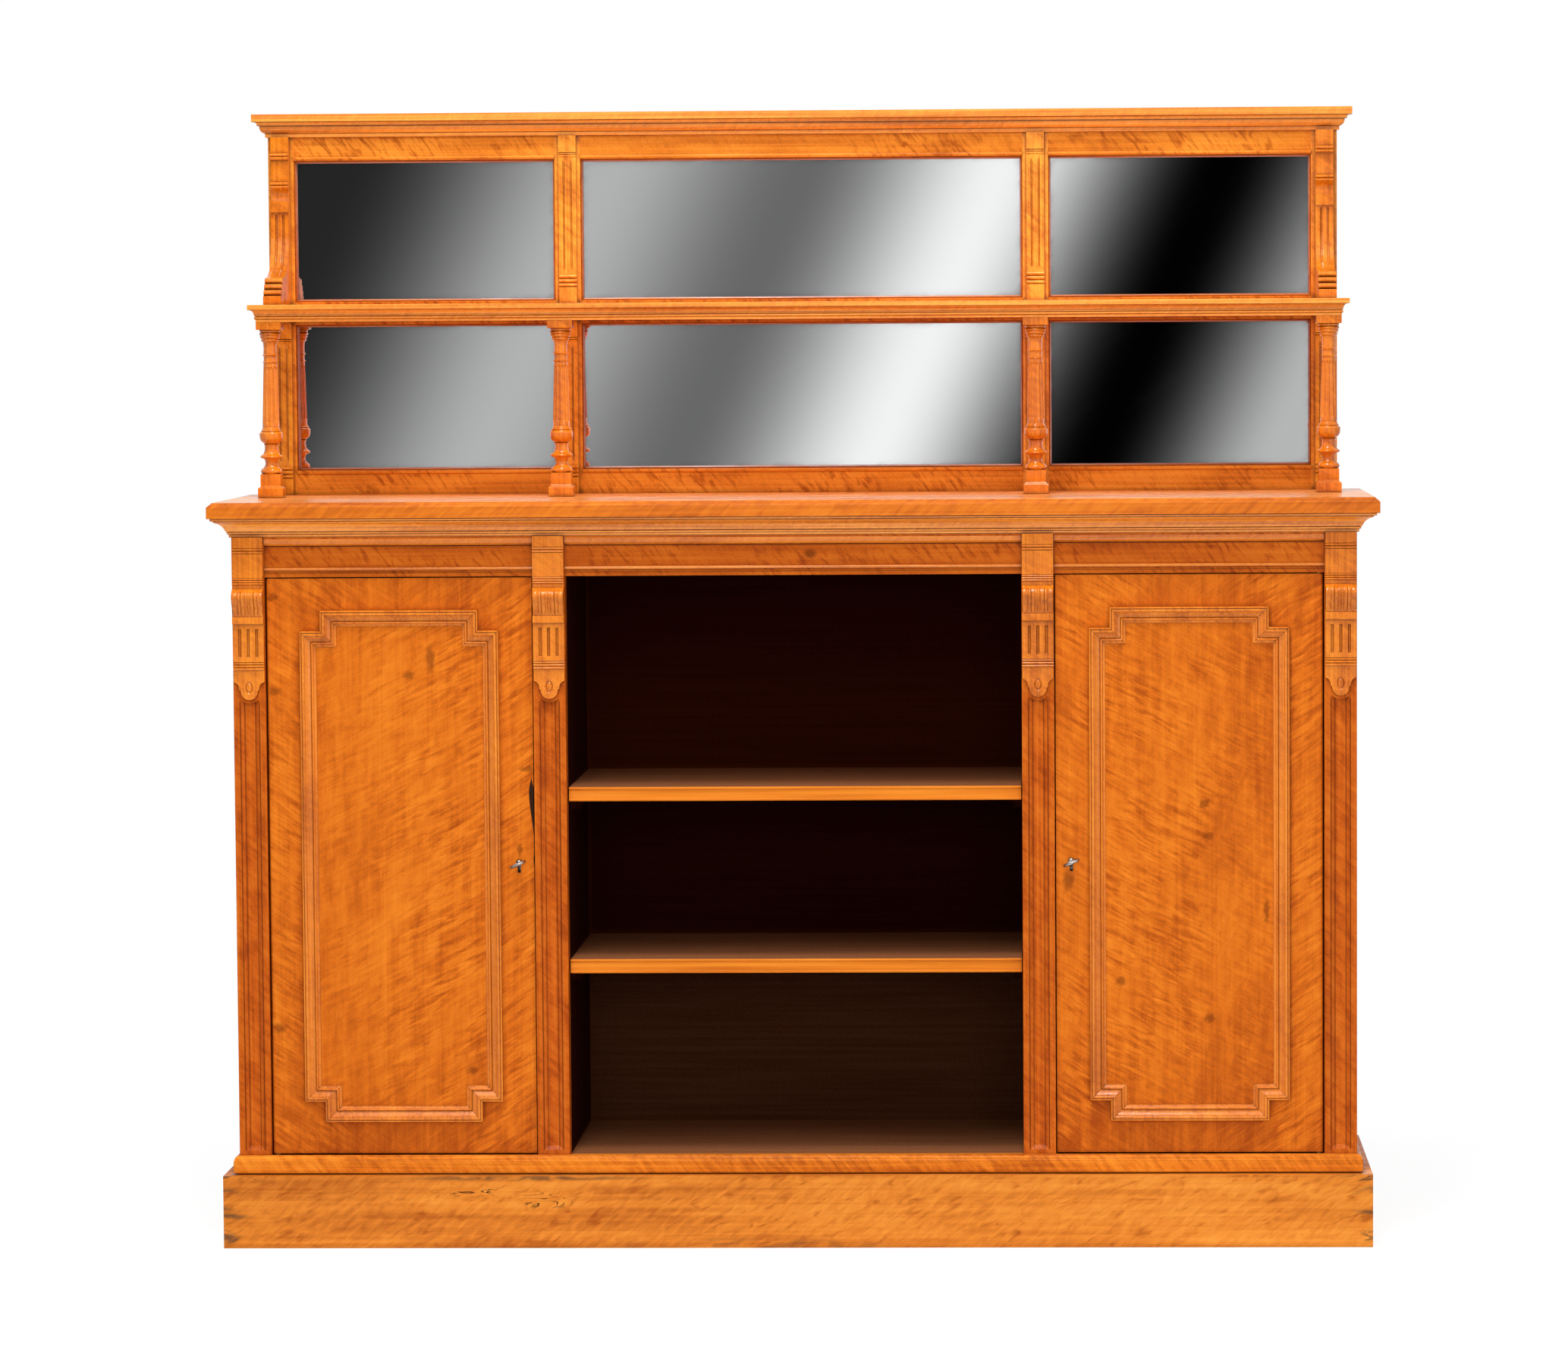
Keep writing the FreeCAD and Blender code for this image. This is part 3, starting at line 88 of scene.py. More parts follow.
# Glass, metal and studio tones, linear
SILVER = (0.94, 0.945, 0.95)
TARNISH = (0.10, 0.07, 0.05)
BRASS = (0.50, 0.36, 0.15)
DULL_BRASS = (0.14, 0.08, 0.03)
STEEL = (0.52, 0.50, 0.47)
DULL_STEEL = (0.12, 0.09, 0.07)
WHITE = (1.0, 1.0, 1.0, 1.0)
FLOOR_TONE = (0.82, 0.82, 0.81, 1.0)
SHADOW_TONE = (0.16, 0.16, 0.16, 1.0)

# Share of a tone's red, green and blue in the dark and the light of its figure
DARK_SHARE = (0.50, 0.33, 0.28)
LIGHT_SHARE = (1.28, 1.65, 2.20)
NOISE_SPREAD = 0.13  # most values of a noise lie this near to one half
FULL_SWING = 0.70  # reaches the dark and the light

# Knots, stains, cracks and burns: centres and half sizes across and up, in metres
KNOT_HALF = (0.010, 0.008)
DOOR_KNOTS = ((-0.685, 0.860), (-0.684, 0.736), (-0.506, 0.756), (-0.428, 0.233),
              (0.538, 0.583), (0.542, 0.540), (0.428, 0.349), (0.545, 0.300))
DOOR_STAINS = (((-0.478, 0.778), (0.008, 0.024)), ((-0.352, 0.632), (0.014, 0.006)),
               ((-0.3635, 0.524), (0.0042, 0.013)), ((0.359, 0.484), (0.010, 0.020)),
               ((0.619, 0.441), (0.005, 0.022)), ((-0.683, 0.290), (0.012, 0.010)))
DOOR_NICKS = ((-0.3438, 0.512), (0.0010, 0.009))
FRIEZE_KNOT = ((0.023, 0.914), (0.012, 0.009))
PLINTH_CRACKS = (((-0.42, 0.076), (0.075, 0.010)), ((-0.33, 0.064), (0.055, 0.016)))
PLINTH_STREAK = ((-0.36, 0.093), (0.20, 0.005))
PLINTH_FOOT = ((-0.05, 0.004), (0.22, 0.012))
PLINTH_YELLOW = ((-0.42, 0.070), (0.20, 0.035))
# Heights and half sizes of the burns at both ends of the plinth
PLINTH_BURNS = ((0.074, (0.026, 0.011)), (0.047, (0.032, 0.009)), (0.018, (0.016, 0.012)),
                (0.0945, (0.060, 0.0035)))

# Sliver lost from the left door's lock edge, in metres
SLIVER_FOOT = 0.538
SLIVER_HEAD = 0.624
SLIVER_WIDTH = 0.0036
SLIVER_DEPTH = 0.007

# Dark lines of painted shade, partly old polish, along the pilasters' panels and under edges of the cornices:
# metres off a pilaster's middle, or heights on the cornices, and strengths
PANEL_SHADE_LINES = ((0.0127, 0.75), (0.0071, 0.60))
CORNICE_SHADOW_LINES = ((1.2372, 0.55), (1.2305, 0.45), (1.2248, 0.55),
                 (1.4925, 0.65), (1.4874, 0.60), (1.4773, 0.60))
COUNTER_SHADOW_LINES = ((0.9637, 0.95), (0.9606, 0.45), (0.9463, 0.60), (0.9428, 0.55), (0.9395, 0.60))

# Lines of the piece that several shapes and materials share
CARCASS_HALF = 737.5 * MM
DOOR_NOTCH = 27.0 * MM
HALF_MOULDING = 10.0 * MM
FRIEZE_FACE_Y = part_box("left_inner_pilaster")[0].y + 4.0 * MM


class Tree:
    """Short forms for building the nodes of one material, or of the world."""

    def __init__(self, owner):
        self.owner = owner
        owner.use_nodes = True
        self.tree = owner.node_tree
        self.tree.nodes.clear()

    def node(self, kind, settings=None, **inputs):
        made = self.tree.nodes.new("ShaderNode" + kind)
        for key, value in (settings or {}).items():
            setattr(made, key, value)
        for key, value in inputs.items():
            self.feed(made.inputs[key.replace("_", " ")], value)
        return made

    def feed(self, socket, value):
        if isinstance(value, bpy.types.NodeSocket):
            self.tree.links.new(value, socket)
        else:
            socket.default_value = value

    def math(self, operation, *values):
        made = self.node("Math", {"operation": operation})
        for socket, value in zip(made.inputs, values):
            self.feed(socket, value)
        return made.outputs[0]

    def chain(self, operation, values):
        """One operation carried through all the values."""
        result = values[0]
        for value in values[1:]:
            result = self.math(operation, result, value)
        return result

    def total(self, *values):
        return self.chain("ADD", values)

    def product(self, *values):
        return self.chain("MULTIPLY", values)

    def most(self, *values):
        return self.chain("MAXIMUM", values)

    def off(self, value, middle):
        """Distance of a value from a middle."""
        return self.math("ABSOLUTE", self.math("SUBTRACT", value, middle))

    def fit(self, value, low, high, new_low=0.0, new_high=1.0):
        """Smooth step of value from one range to another, held at its ends."""
        made = self.node("MapRange", {"interpolation_type": "SMOOTHSTEP"}, Value=value,
                         From_Min=low, From_Max=high, To_Min=new_low, To_Max=new_high)
        return made.outputs["Result"]

    def axes(self, place, names="XYZ"):
        made = self.node("SeparateXYZ", Vector=place)
        return [made.outputs[name] for name in names]

    def joined(self, x, y, z):
        return self.node("CombineXYZ", X=x, Y=y, Z=z).outputs["Vector"]

    def streaks(self, place, angle, length, width, detail=2.0, wander=0.0):
        """Noise of a length and width in metres, drawn out along a way that rises to the right by angle."""
        turned = self.node("Mapping", {"vector_type": "TEXTURE"}, Vector=place,
                           Rotation=(0, -math.radians(angle), 0), Scale=(length, width, width))
        made = self.node("TexNoise", Vector=turned.outputs[0], Scale=1.0, Detail=detail, Distortion=wander)
        return made.outputs["Fac"]

    def swing(self, value, amount):
        """A noise value as a swing about zero that mostly stays within amount."""
        gain = amount / NOISE_SPREAD
        return self.math("MULTIPLY_ADD", value, gain, -gain / 2)

    def ramp(self, value, *stops):
        made = self.node("ValToRGB", Fac=value)
        while len(made.color_ramp.elements) < len(stops):
            made.color_ramp.elements.new(1.0)
        for element, (position, colour) in zip(made.color_ramp.elements, stops):
            element.position = position
            element.color = (*colour, 1.0)
        return made.outputs["Color"]

    def mix(self, amount, first, second):
        made = self.node("Mix", {"data_type": "RGBA"})
        for key, value in (("Factor_Float", amount), ("A_Color", first), ("B_Color", second)):
            socket = next(item for item in made.inputs if item.identifier == key)
            if isinstance(value, tuple):
                value = (*value, 1.0)
            self.feed(socket, value)
        return next(item for item in made.outputs if item.identifier == "Result_Color")

    def shaded_and_soiled(self, colour, reach, amount, dirt=CORNER_SHADE_AND_DIRT):
        """A colour darkened in corners and under edges: painted shade, with dirt on wood and tarnish on metal
        and glass.
        """
        clear = self.node("AmbientOcclusion", {"samples": 6}, Distance=reach).outputs["AO"]
        return self.mix(self.product(self.fit(clear, 0.35, 0.90, 1.0, 0.0), amount), colour, dirt)

    def spot(self, x, z, centre, half, core=0.3):
        """One in the core of an upright oval, fading to zero at its edge."""
        u = self.math("DIVIDE", self.math("SUBTRACT", x, centre[0]), half[0])
        v = self.math("DIVIDE", self.math("SUBTRACT", z, centre[1]), half[1])
        away = self.math("SQRT", self.total(self.product(u, u), self.product(v, v)))
        return self.fit(away, core, 1.0, 1.0, 0.0)

    def shaders(self, kind, first, second, **inputs):
        """Two shaders added or mixed."""
        made = self.node(kind, **inputs)
        for socket, shader in zip(list(made.inputs)[-2:], (first, second)):
            self.feed(socket, shader)
        return made.outputs[0]

    def surface(self, colour, roughness, bump=None, depth=0.0003, soft=0.0007, shine=0.5, metal=0.0):
        """Principled surface with edges softened by a small radius, ending the tree."""
        facing = {}
        if soft:
            facing["Normal"] = self.node("Bevel", {"samples": 4}, Radius=soft).outputs["Normal"]
        if bump is not None:
            raised = self.node("Bump", Height=bump, Distance=depth, Strength=0.6, **facing)
            facing["Normal"] = raised.outputs["Normal"]
        made = self.node("BsdfPrincipled", Base_Color=colour, Roughness=roughness, Metallic=metal,
                         Specular_IOR_Level=shine, **facing)
        return self.ended(made.outputs["BSDF"])

    def ended(self, shader, kind="OutputMaterial"):
        self.node(kind, Surface=shader)
        return self.owner


def start(name):
    """Nodes of a new material, and the place on its piece at rest, in metres of the row frame."""
    t = Tree(bpy.data.materials.new(name))
    return t, t.node("TexCoord").outputs["Object"]


def shades(tone):
    """Dark, middle and light of one wood."""
    dark = tuple(part * share for part, share in zip(tone, DARK_SHARE))
    light = tuple(part * share for part, share in zip(tone, LIGHT_SHARE))
    return (0.0, dark), (0.5, tone), (1.0, light)


def figured(t, shade, tone):
    """Colour of a wood from swings about zero."""
    return t.ramp(t.fit(shade, -FULL_SWING, FULL_SWING), *shades(tone))


def polish(t, place, low, high):
    """Roughness of old polish: smeared patches."""
    return t.fit(t.streaks(place, 20, 0.09, 0.03, 3.0), 0.3, 0.7, low, high)


def finish_wood(t, place, shade, tone, grain, gloss=(0.28, 0.42), dirt=0.5, marks=None, cracks_and_shadow_lines=None,
                shine=0.10, soft=0.0007):
    """Colour, painted shade with dirt in corners and under edges, wear and polish that all the polished woods
    share.
    """
    pores = t.swing(t.streaks(place, 0, 0.0024, 0.0013, 2.0), 0.06)
    colour = figured(t, t.total(shade, pores), tone)
    # Knots and stains, and on the pilasters painted shade along the panels
    if marks is not None:
        colour = t.mix(marks, colour, KNOT_AND_SHADE)
    # Painted shade, with dirt, in corners and under edges
    colour = t.shaded_and_soiled(colour, 0.009, dirt)
    # Cracks, and level lines of painted shadow
    if cracks_and_shadow_lines is not None:
        colour = t.mix(cracks_and_shadow_lines, colour, CRACK_AND_SHADOW)
    return t.surface(colour, polish(t, place, *gloss), grain, soft=soft, shine=shine)


def case_wood(name, tone, angle, ripple=0.12, slant=35.0, ripple_size=(0.035, 0.007), cloud_size=(0.16, 0.04),
              grain_swing=0.10, marks=None, rules=(), **finish):
    """Polished satinwood with straight grain along angle, ripples across it, and dark marks and lines,
    painted shade and shadow among them.
    """
    t, place = start(name)
    grain = t.streaks(place, angle, 0.30, 0.0035, 3.0)
    waves = t.streaks(place, angle + 90 - slant, *ripple_size, 1.5, 0.5)
    cloud = t.streaks(place, angle, *cloud_size, 2.0)
    shade = t.total(t.swing(grain, grain_swing), t.swing(waves, ripple), t.swing(cloud, 0.12))
    return finish_wood(t, place, shade, tone, grain, marks=marks(t, place) if marks else None,
                       cracks_and_shadow_lines=level_lines(t, place, rules), **finish)


def level_lines(t, place, rules):
    """Thin level lines of painted shadow, partly dark old polish, as heights and strengths, if there are any.
    """
    if not rules:
        return None
    [z] = t.axes(place, "Z")
    return t.most(*[t.fit(t.off(z, height), 0.0002, 0.0010, strength, 0.0) for height, strength in rules])


def panel_shade_lines(t, place):
    """Dark lines along the sunk panels of the four pilasters: painted shade, partly old polish."""
    x, z = t.axes(place, "XZ")
    across = t.math("ABSOLUTE", x)
    boxes = [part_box("right_%s_pilaster" % name) for name in ("inner", "outer")]
    away = t.math("MINIMUM", *[t.off(across, (low.x + high.x) / 2) for low, high in boxes])
    lines = t.most(*[t.fit(t.off(away, at), 0.0003, 0.0014, strength, 0.0) for at, strength in PANEL_SHADE_LINES])
    below_corbel = t.math("LESS_THAN", z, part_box("right_inner_corbel")[0].z - 3.0 * MM)
    above_foot = t.math("GREATER_THAN", z, boxes[0][0].z + 8.0 * MM)
    return t.product(lines, below_corbel, above_foot)


def inside_marks(t, place):
    """Darkness of the side panels towards the cupboards."""
    [x] = t.axes(place, "X")
    outer_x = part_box("right_side_panel")[1].x - 2.0 * MM
    return t.product(t.math("LESS_THAN", t.math("ABSOLUTE", x), outer_x), 0.75)


def worn_top_with_painted_sheen(name):
    """Counter board: striped edge, and a paler upper face: painted sheen, with some dust and wear."""
    t, place = start(name)
    [z] = t.axes(place, "Z")
    grain = t.streaks(place, 0, 0.30, 0.0035, 3.0)
    waves = t.streaks(place, 40, 0.035, 0.007, 1.5, 0.5)
    cloud = t.streaks(place, 0, 0.20, 0.05, 2.0)
    shade = t.total(t.swing(grain, 0.10), t.swing(waves, 0.10), t.swing(cloud, 0.10), 0.5)
    # Paler upper face: painted sheen, with some dust and wear
    upper = t.math("GREATER_THAN", z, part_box("counter_top")[1].z - 0.3 * MM)
    colour = t.mix(upper, t.ramp(shade, *shades(TOP_TONE)), t.ramp(shade, *shades(TOP_FACE_SHEEN_TONE)))
    # Painted shade, with dirt, in corners and under edges
    return t.surface(t.shaded_and_soiled(colour, 0.009, 0.5), polish(t, place, 0.18, 0.30), grain, shine=0.2)


def door_wood(name):
    """Door veneer: rippled centre field, and borders whose figure feathers away from the door's middle."""
    t, place = start(name)
    x, z = t.axes(place, "XZ")
    low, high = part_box("right_door_moulding")
    middle = (low + high) / 2
    half = (high - low) / 2
    side = t.math("SIGN", x)
    across = t.math("ABSOLUTE", x)
    offset = t.math("SUBTRACT", across, middle.x)
    outward = t.math("ABSOLUTE", offset)
    past_x = t.math("SUBTRACT", outward, half.x - HALF_MOULDING)
    past_z = t.math("SUBTRACT", t.off(z, middle.z), half.z - HALF_MOULDING)
    in_box = t.math("LESS_THAN", t.math("MAXIMUM", past_x, past_z), 0.0)
    in_field = t.product(in_box, t.math("LESS_THAN", t.math("MINIMUM", past_x, past_z), -DOOR_NOTCH))

    border_place = t.joined(outward, t.total(t.product(side, 3.0), t.math("SIGN", offset)), z)
    feather = t.swing(t.streaks(border_place, 33, 0.040, 0.0055, 1.0, 0.8), 0.17)
    near_middle = t.fit(outward, 0.03, 0.12, 0.25, 1.0)
    border = t.product(t.math("SUBTRACT", 1.0, in_field), feather, near_middle)
    ripple = t.swing(t.streaks(t.joined(across, side, z), -27, 0.034, 0.0052, 1.0, 0.8), 0.17)
    lock_side = t.fit(offset, -0.06, 0.09, 1.0, 0.45)
    patches = t.fit(t.streaks(place, 60, 0.09, 0.05, 1.0), 0.35, 0.62, 0.40, 1.0)
    figure = t.product(t.total(t.product(in_field, ripple, lock_side), border), patches)

    grain = t.streaks(place, 90, 0.40, 0.0030, 3.0)
    bands = t.swing(t.streaks(place, 89, 0.12, 0.016, 2.0, 0.4), 0.07)
    mottle = t.swing(t.streaks(place, 80, 0.030, 0.014, 2.0, 0.8), 0.06)
    cloud = t.swing(t.streaks(place, 70, 0.25, 0.12, 1.0), 0.07)
    # Painted shade: darker towards the foot, and painted shadow under the frieze at the head
    painted_shade_foot = t.fit(z, 0.125, 0.28, -0.20, 0.0)
    painted_shadow_head = t.fit(z, 0.78, 0.885, 0.0, -0.12)
    shade = t.total(figure, t.swing(grain, 0.04), bands, mottle, cloud, painted_shade_foot, painted_shadow_head)
    return finish_wood(t, place, shade, DOOR_TONE, grain, gloss=(0.30, 0.45), marks=door_marks(t, place),
                       cracks_and_shadow_lines=door_cracks(t, place))


def door_marks(t, place):
    """Knots and stains of both doors, bent a little out of true."""
    x, z = t.axes(place, "XZ")
    bent = t.swing(t.streaks(place, 40, 0.010, 0.006, 2.0), 0.0013)
    x, z = t.total(x, bent), t.total(z, bent)
    marks = [t.spot(x, z, centre, KNOT_HALF) for centre in DOOR_KNOTS]
    marks += [t.spot(x, z, *stain) for stain in DOOR_STAINS]
    return t.product(t.most(*marks), 0.55)


def door_cracks(t, place):
    """Sliver lost from the front of the left door's lock edge, and nicks below it."""
    x, y, z = t.axes(place)
    swell = t.product(t.fit(z, SLIVER_FOOT, 0.598, 0.0, SLIVER_WIDTH), t.fit(z, 0.600, SLIVER_HEAD, 1.0, 0.0))
    edge = t.fit(z, 0.540, 0.620, -0.3441, -0.3465)
    sliver = t.product(t.math("LESS_THAN", t.off(x, edge), swell), t.math("GREATER_THAN", z, SLIVER_FOOT))
    face_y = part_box("left_door_panel")[0].y
    near_face = t.fit(y, face_y + 0.003, face_y + SLIVER_DEPTH, 1.0, 0.0)
    return t.product(t.most(sliver, t.spot(x, z, *DOOR_NICKS)), near_face)


def frieze_wood(name, tone, rules=()):
    """Frieze veneer with dark flame streaks leaning across a horizontal grain."""
    t, place = start(name)
    x, z = t.axes(place, "XZ")
    grain = t.streaks(place, 0, 0.25, 0.004, 3.0)
    flames = t.fit(t.streaks(place, -52, 0.024, 0.0060, 1.0, 0.7), 0.42, 0.80, 0.08, -0.38)
    patches = t.fit(t.streaks(place, 0, 0.10, 0.05, 1.0), 0.40, 0.60, 0.25, 1.2)
    cloud = t.streaks(place, 0, 0.12, 0.03, 2.0)
    shade = t.total(t.swing(grain, 0.09), t.product(flames, patches), t.swing(cloud, 0.12))
    return finish_wood(t, place, shade, tone, grain, marks=t.product(t.spot(x, z, *FRIEZE_KNOT), 0.7),
                       cracks_and_shadow_lines=level_lines(t, place, rules))


def plinth_wood(name):
    """Yellower, blotched plinth veneer with cracks left of its middle and burnt ends."""
    t, place = start(name)
    x, y, z = t.axes(place)
    grain = t.streaks(place, 0, 0.30, 0.005, 3.0)
    mottle = t.streaks(place, 35, 0.022, 0.0065, 1.5, 0.7)
    blotch = t.fit(t.streaks(place, 22, 0.030, 0.010, 2.0, 0.6), 0.54, 0.78, 0.0, -0.30)
    cloud = t.streaks(place, 0, 0.30, 0.03, 2.0)
    # Painted light: lighter towards the right
    painted_light_to_right = t.fit(x, -0.60, 0.75, -0.12, 0.12)
    yellow = t.product(t.spot(x, z, *PLINTH_YELLOW), 0.22)
    shade = t.total(t.swing(grain, 0.07), t.swing(mottle, 0.08), blotch, t.swing(cloud, 0.12), painted_light_to_right)
    colour = figured(t, t.total(shade, yellow), PLINTH_TONE)

    wave = t.streaks(place, 4, 0.060, 0.016, 3.0, 1.0)
    line = t.fit(t.off(wave, 0.50), 0.004, 0.016, 1.0, 0.0)
    cracks_and_shadow_lines = t.product(line, t.most(*[t.spot(x, z, *crack) for crack in PLINTH_CRACKS]))
    streak = t.product(t.spot(x, z, *PLINTH_STREAK), t.fit(wave, 0.40, 0.55, 0.2, 0.9))
    foot = t.product(t.spot(x, z, *PLINTH_FOOT), t.fit(wave, 0.45, 0.60, 0.0, 0.5))
    low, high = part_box("plinth_front")
    ragged_x = t.total(t.math("ABSOLUTE", x), t.swing(wave, 0.012))
    ragged_z = t.total(z, t.swing(wave, 0.006))
    burns = [t.spot(ragged_x, ragged_z, (high.x + 0.001, height), half, 0.1) for height, half in PLINTH_BURNS]
    burnt = t.product(t.most(*burns), t.fit(y, low.y + 0.002, low.y + 0.020, 1.0, 0.0))
    colour = t.mix(t.product(t.most(streak, foot, burnt), 0.85), colour, BARE_WOOD)
    # Painted shade, with dirt, in corners and under edges
    colour = t.shaded_and_soiled(t.mix(cracks_and_shadow_lines, colour, CRACK_AND_SHADOW), 0.010, 0.4)
    return t.surface(colour, polish(t, place, 0.34, 0.5), grain, shine=0.10)


def inner_wood(name, tone, front_y=-1.0, back_y=1.0, heights=()):
    """Dull dark wood inside the case, with painted light and shade in bands of height; forward of front_y it
    is polished lipping, behind back_y bare.
    """
    t, place = start(name)
    y, z = t.axes(place, "YZ")
    grain = t.streaks(place, 0, 0.25, 0.006, 4.0)
    upright = t.streaks(place, 90, 0.30, 0.006, 4.0)
    dust = t.streaks(place, 0, 0.004, 0.002, 3.0)
    shade = t.total(t.swing(grain, 0.12), t.swing(dust, 0.10), 0.5)
    dull = t.ramp(shade, *shades(tone))
    # Bands of height: painted light low in the bays, painted shade under the shelves
    for low, high, level_tone in heights:
        dull = t.mix(t.fit(z, low, high, 1.0, 0.0), dull, t.ramp(shade, *shades(level_tone)))
    bare = t.ramp(t.total(t.swing(upright, 0.22), 0.5), *shades(BACK_TONE))
    bright = t.ramp(t.total(t.swing(grain, 0.12), 0.5), *shades(LIP_TONE))
    forward = t.math("LESS_THAN", y, front_y)
    colour = t.mix(t.math("GREATER_THAN", y, back_y), t.mix(forward, dull, bright), bare)
    roughness = t.fit(forward, 0.0, 1.0, 0.85, 0.40)
    # Painted shade, with dirt, in corners and under edges
    return t.surface(t.shaded_and_soiled(colour, 0.010, 0.4), roughness, dust, shine=0.03)


def plain_wood(name, angle):
    """Unpolished boards with open grain."""
    t, place = start(name)
    grain = t.streaks(place, angle, 0.40, 0.007, 5.0, 0.3)
    cloud = t.streaks(place, angle, 0.5, 0.10, 2.0)
    colour = t.ramp(t.total(t.swing(grain, 0.20), t.swing(cloud, 0.12), 0.5), *shades(BACK_TONE))
    roughness = t.fit(grain, 0.3, 0.7, 0.60, 0.80)
    # Painted shade, with dirt, in corners and under edges
    return t.surface(t.shaded_and_soiled(colour, 0.012, 0.6), roughness, grain, 0.0006, shine=0.2)


def mirror_glass(name):
    """Silvered plate with faint smears, and tarnish at its edges."""
    t, place = start(name)
    smear = t.streaks(place, 30, 0.12, 0.02, 4.0)
    colour = t.shaded_and_soiled(SILVER, 0.012, t.fit(smear, 0.35, 0.65, 0.1, 0.5), TARNISH)
    return t.surface(colour, t.fit(smear, 0.3, 0.8, 0.0, 0.025), soft=0.0, metal=1.0)


def metal(name, tone, worn, low, high):
    """Old metal with tarnish in its hollows and rubbed patches."""
    t, place = start(name)
    spots = t.streaks(place, 25, 0.006, 0.003, 4.0)
    colour = t.shaded_and_soiled(t.ramp(spots, (0.30, worn), (0.62, tone)), 0.004, 0.6, worn)
    return t.surface(colour, t.fit(spots, 0.3, 0.7, high, low), spots, 0.0001, metal=1.0)


# Outlines are (out, height) points in millimetres

def bow(first, last, rise, steps=8):
    """Points after the first of a curve that rises to the left of its way by a share of its length."""
    first = Vector(first)
    run = Vector(last) - first
    left = Vector((-run.y, run.x)) * rise
    return [tuple(first + run * (i / steps) + left * math.sin(math.pi * i / steps))
            for i in range(1, steps + 1)]


def stepped_reeds(out, low, height, count, swell=0.42):
    """Outline of reeds stacked upwards from a level."""
    step = height / count
    points = []
    for i in range(count):
        points += bow((out, low + i * step), (out, low + (i + 1) * step), -swell, 7)
    return points


def circle(count):
    return [2 * math.pi * k / count for k in range(count)]


def round_end(share):
    """Height of a quarter circle at a share of its width."""
    share = min(1.0, share)
    return math.sqrt(share * (2 - share))


def groove(share, count, spread, depth, width):
    """Depth of round grooves, evenly spread about the middle of a face."""
    across = (share - 0.5) / spread * count + count / 2
    if not 0 < across < count:
        return 0.0
    return hollow(abs(across % 1 - 0.5) * 2 / width, 1.0, depth)


def hollow(across, reach, depth):
    """Depth of a round hollow that reaches this far to each side."""
    return depth * math.sqrt(1 - (across / reach) ** 2) if abs(across) < reach else 0.0


def add_object(name, data):
    made = bpy.data.objects.new(name, data)
    bpy.context.scene.collection.objects.link(made)
    return made


class Shape:
    """Vertices and faces of one new piece, in metres in the row frame."""

    def __init__(self):
        self.points = []
        self.faces = []

    def grid(self, rows, around=False, closed=False):
        """Faces through rows of equally many points; the rows or the points may close on themselves."""
        first = len(self.points)
        wide = len(rows[0])
        for row in rows:
            self.points += row
        for i in range(len(rows) if closed else len(rows) - 1):
            j = (i + 1) % len(rows)
            for k in range(wide if around else wide - 1):
                m = (k + 1) % wide
                self.faces.append((first + i * wide + k, first + i * wide + m,
                                   first + j * wide + m, first + j * wide + k))
        return [[first + i * wide + k for k in range(wide)] for i in range(len(rows))]

    def tube(self, rows):
        """Closed skin through rings of points, with flat ends."""
        index = self.grid(rows, around=True)
        self.faces += [index[0], index[-1][::-1]]

    def band(self, outline, x0, x1, y, carve=None, stations=2):
        """Bar along X over an (out, height) outline, out measured forwards from y, with carved depths."""
        rows = []
        for out, height in outline:
            row = []
            for k in range(stations):
                share = k / (stations - 1)
                cut = carve(share, height) if carve and 0 < k < stations - 1 and out > 0 else 0.0
                row.append((x0 + (x1 - x0) * share, y - (out - cut) * MM, height * MM))
            rows.append(row)
        index = self.grid(rows, closed=True)
        self.faces.append([row[0] for row in index])
        self.faces.append([row[-1] for row in reversed(index)])

    def turned(self, outline, centre, sides=48, section=None):
        """Upright turning over (radius, height) points; section shapes the radius by angle and height."""
        rows = []
        for radius, height in outline:
            row = []
            for angle in circle(sides):
                reach = radius * MM * (section(angle, height) if section else 1.0)
                row.append((centre.x + reach * math.cos(angle), centre.y + reach * math.sin(angle),
                            centre.z + height * MM))
            rows.append(row)
        index = self.grid(rows, around=True)
        self.faces += [index[0][::-1], index[-1]]

    def piece(self, name, material, *replaced, body="carcass", slot="polished_wood", smooth=32.0):
        """Finish the mesh as an object that rides on a body and stands for CAD nodes."""
        mesh = bpy.data.meshes.new(name)
        mesh.from_pydata(self.points, [], self.faces)
        mesh.update()
        mesh.validate()
        mesh.materials.append(material)
        mesh.shade_smooth()
        mesh.set_sharp_from_angle(angle=math.radians(smooth))
        made = add_object(name, mesh)
        if replaced:
            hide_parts(*replaced)
        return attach(made, body)


# Turned columns, radii and heights in millimetres from the counter up

SHAFT_FOOT = 96.0
SHAFT_HEAD = 181.4
SHAFT_RADIUS = 11.4
SHAFT_TAPER = 2.3
SHAFT_FLUTES = 12
FLUTE_SHARE = 0.84
FLUTE_DEPTH = 0.15
FLUTE_FOOT = 100.5
FLUTE_HEAD = 176.0
FLUTE_END = 4.0


def square_section(angle, height):
    return 1.0 / max(abs(math.cos(angle)), abs(math.sin(angle)))


def fluted_section(angle, height):
    """Round flutes with narrow fillets between them, and round ends."""
    end = min(height - FLUTE_FOOT, FLUTE_HEAD - height) / FLUTE_END
    if end <= 0:
        return 1.0
    across = abs((angle * SHAFT_FLUTES / (2 * math.pi)) % 1 - 0.5) / (FLUTE_SHARE / 2)
    wide = round_end(end)
    return 1.0 - hollow(across, wide, FLUTE_DEPTH * wide)


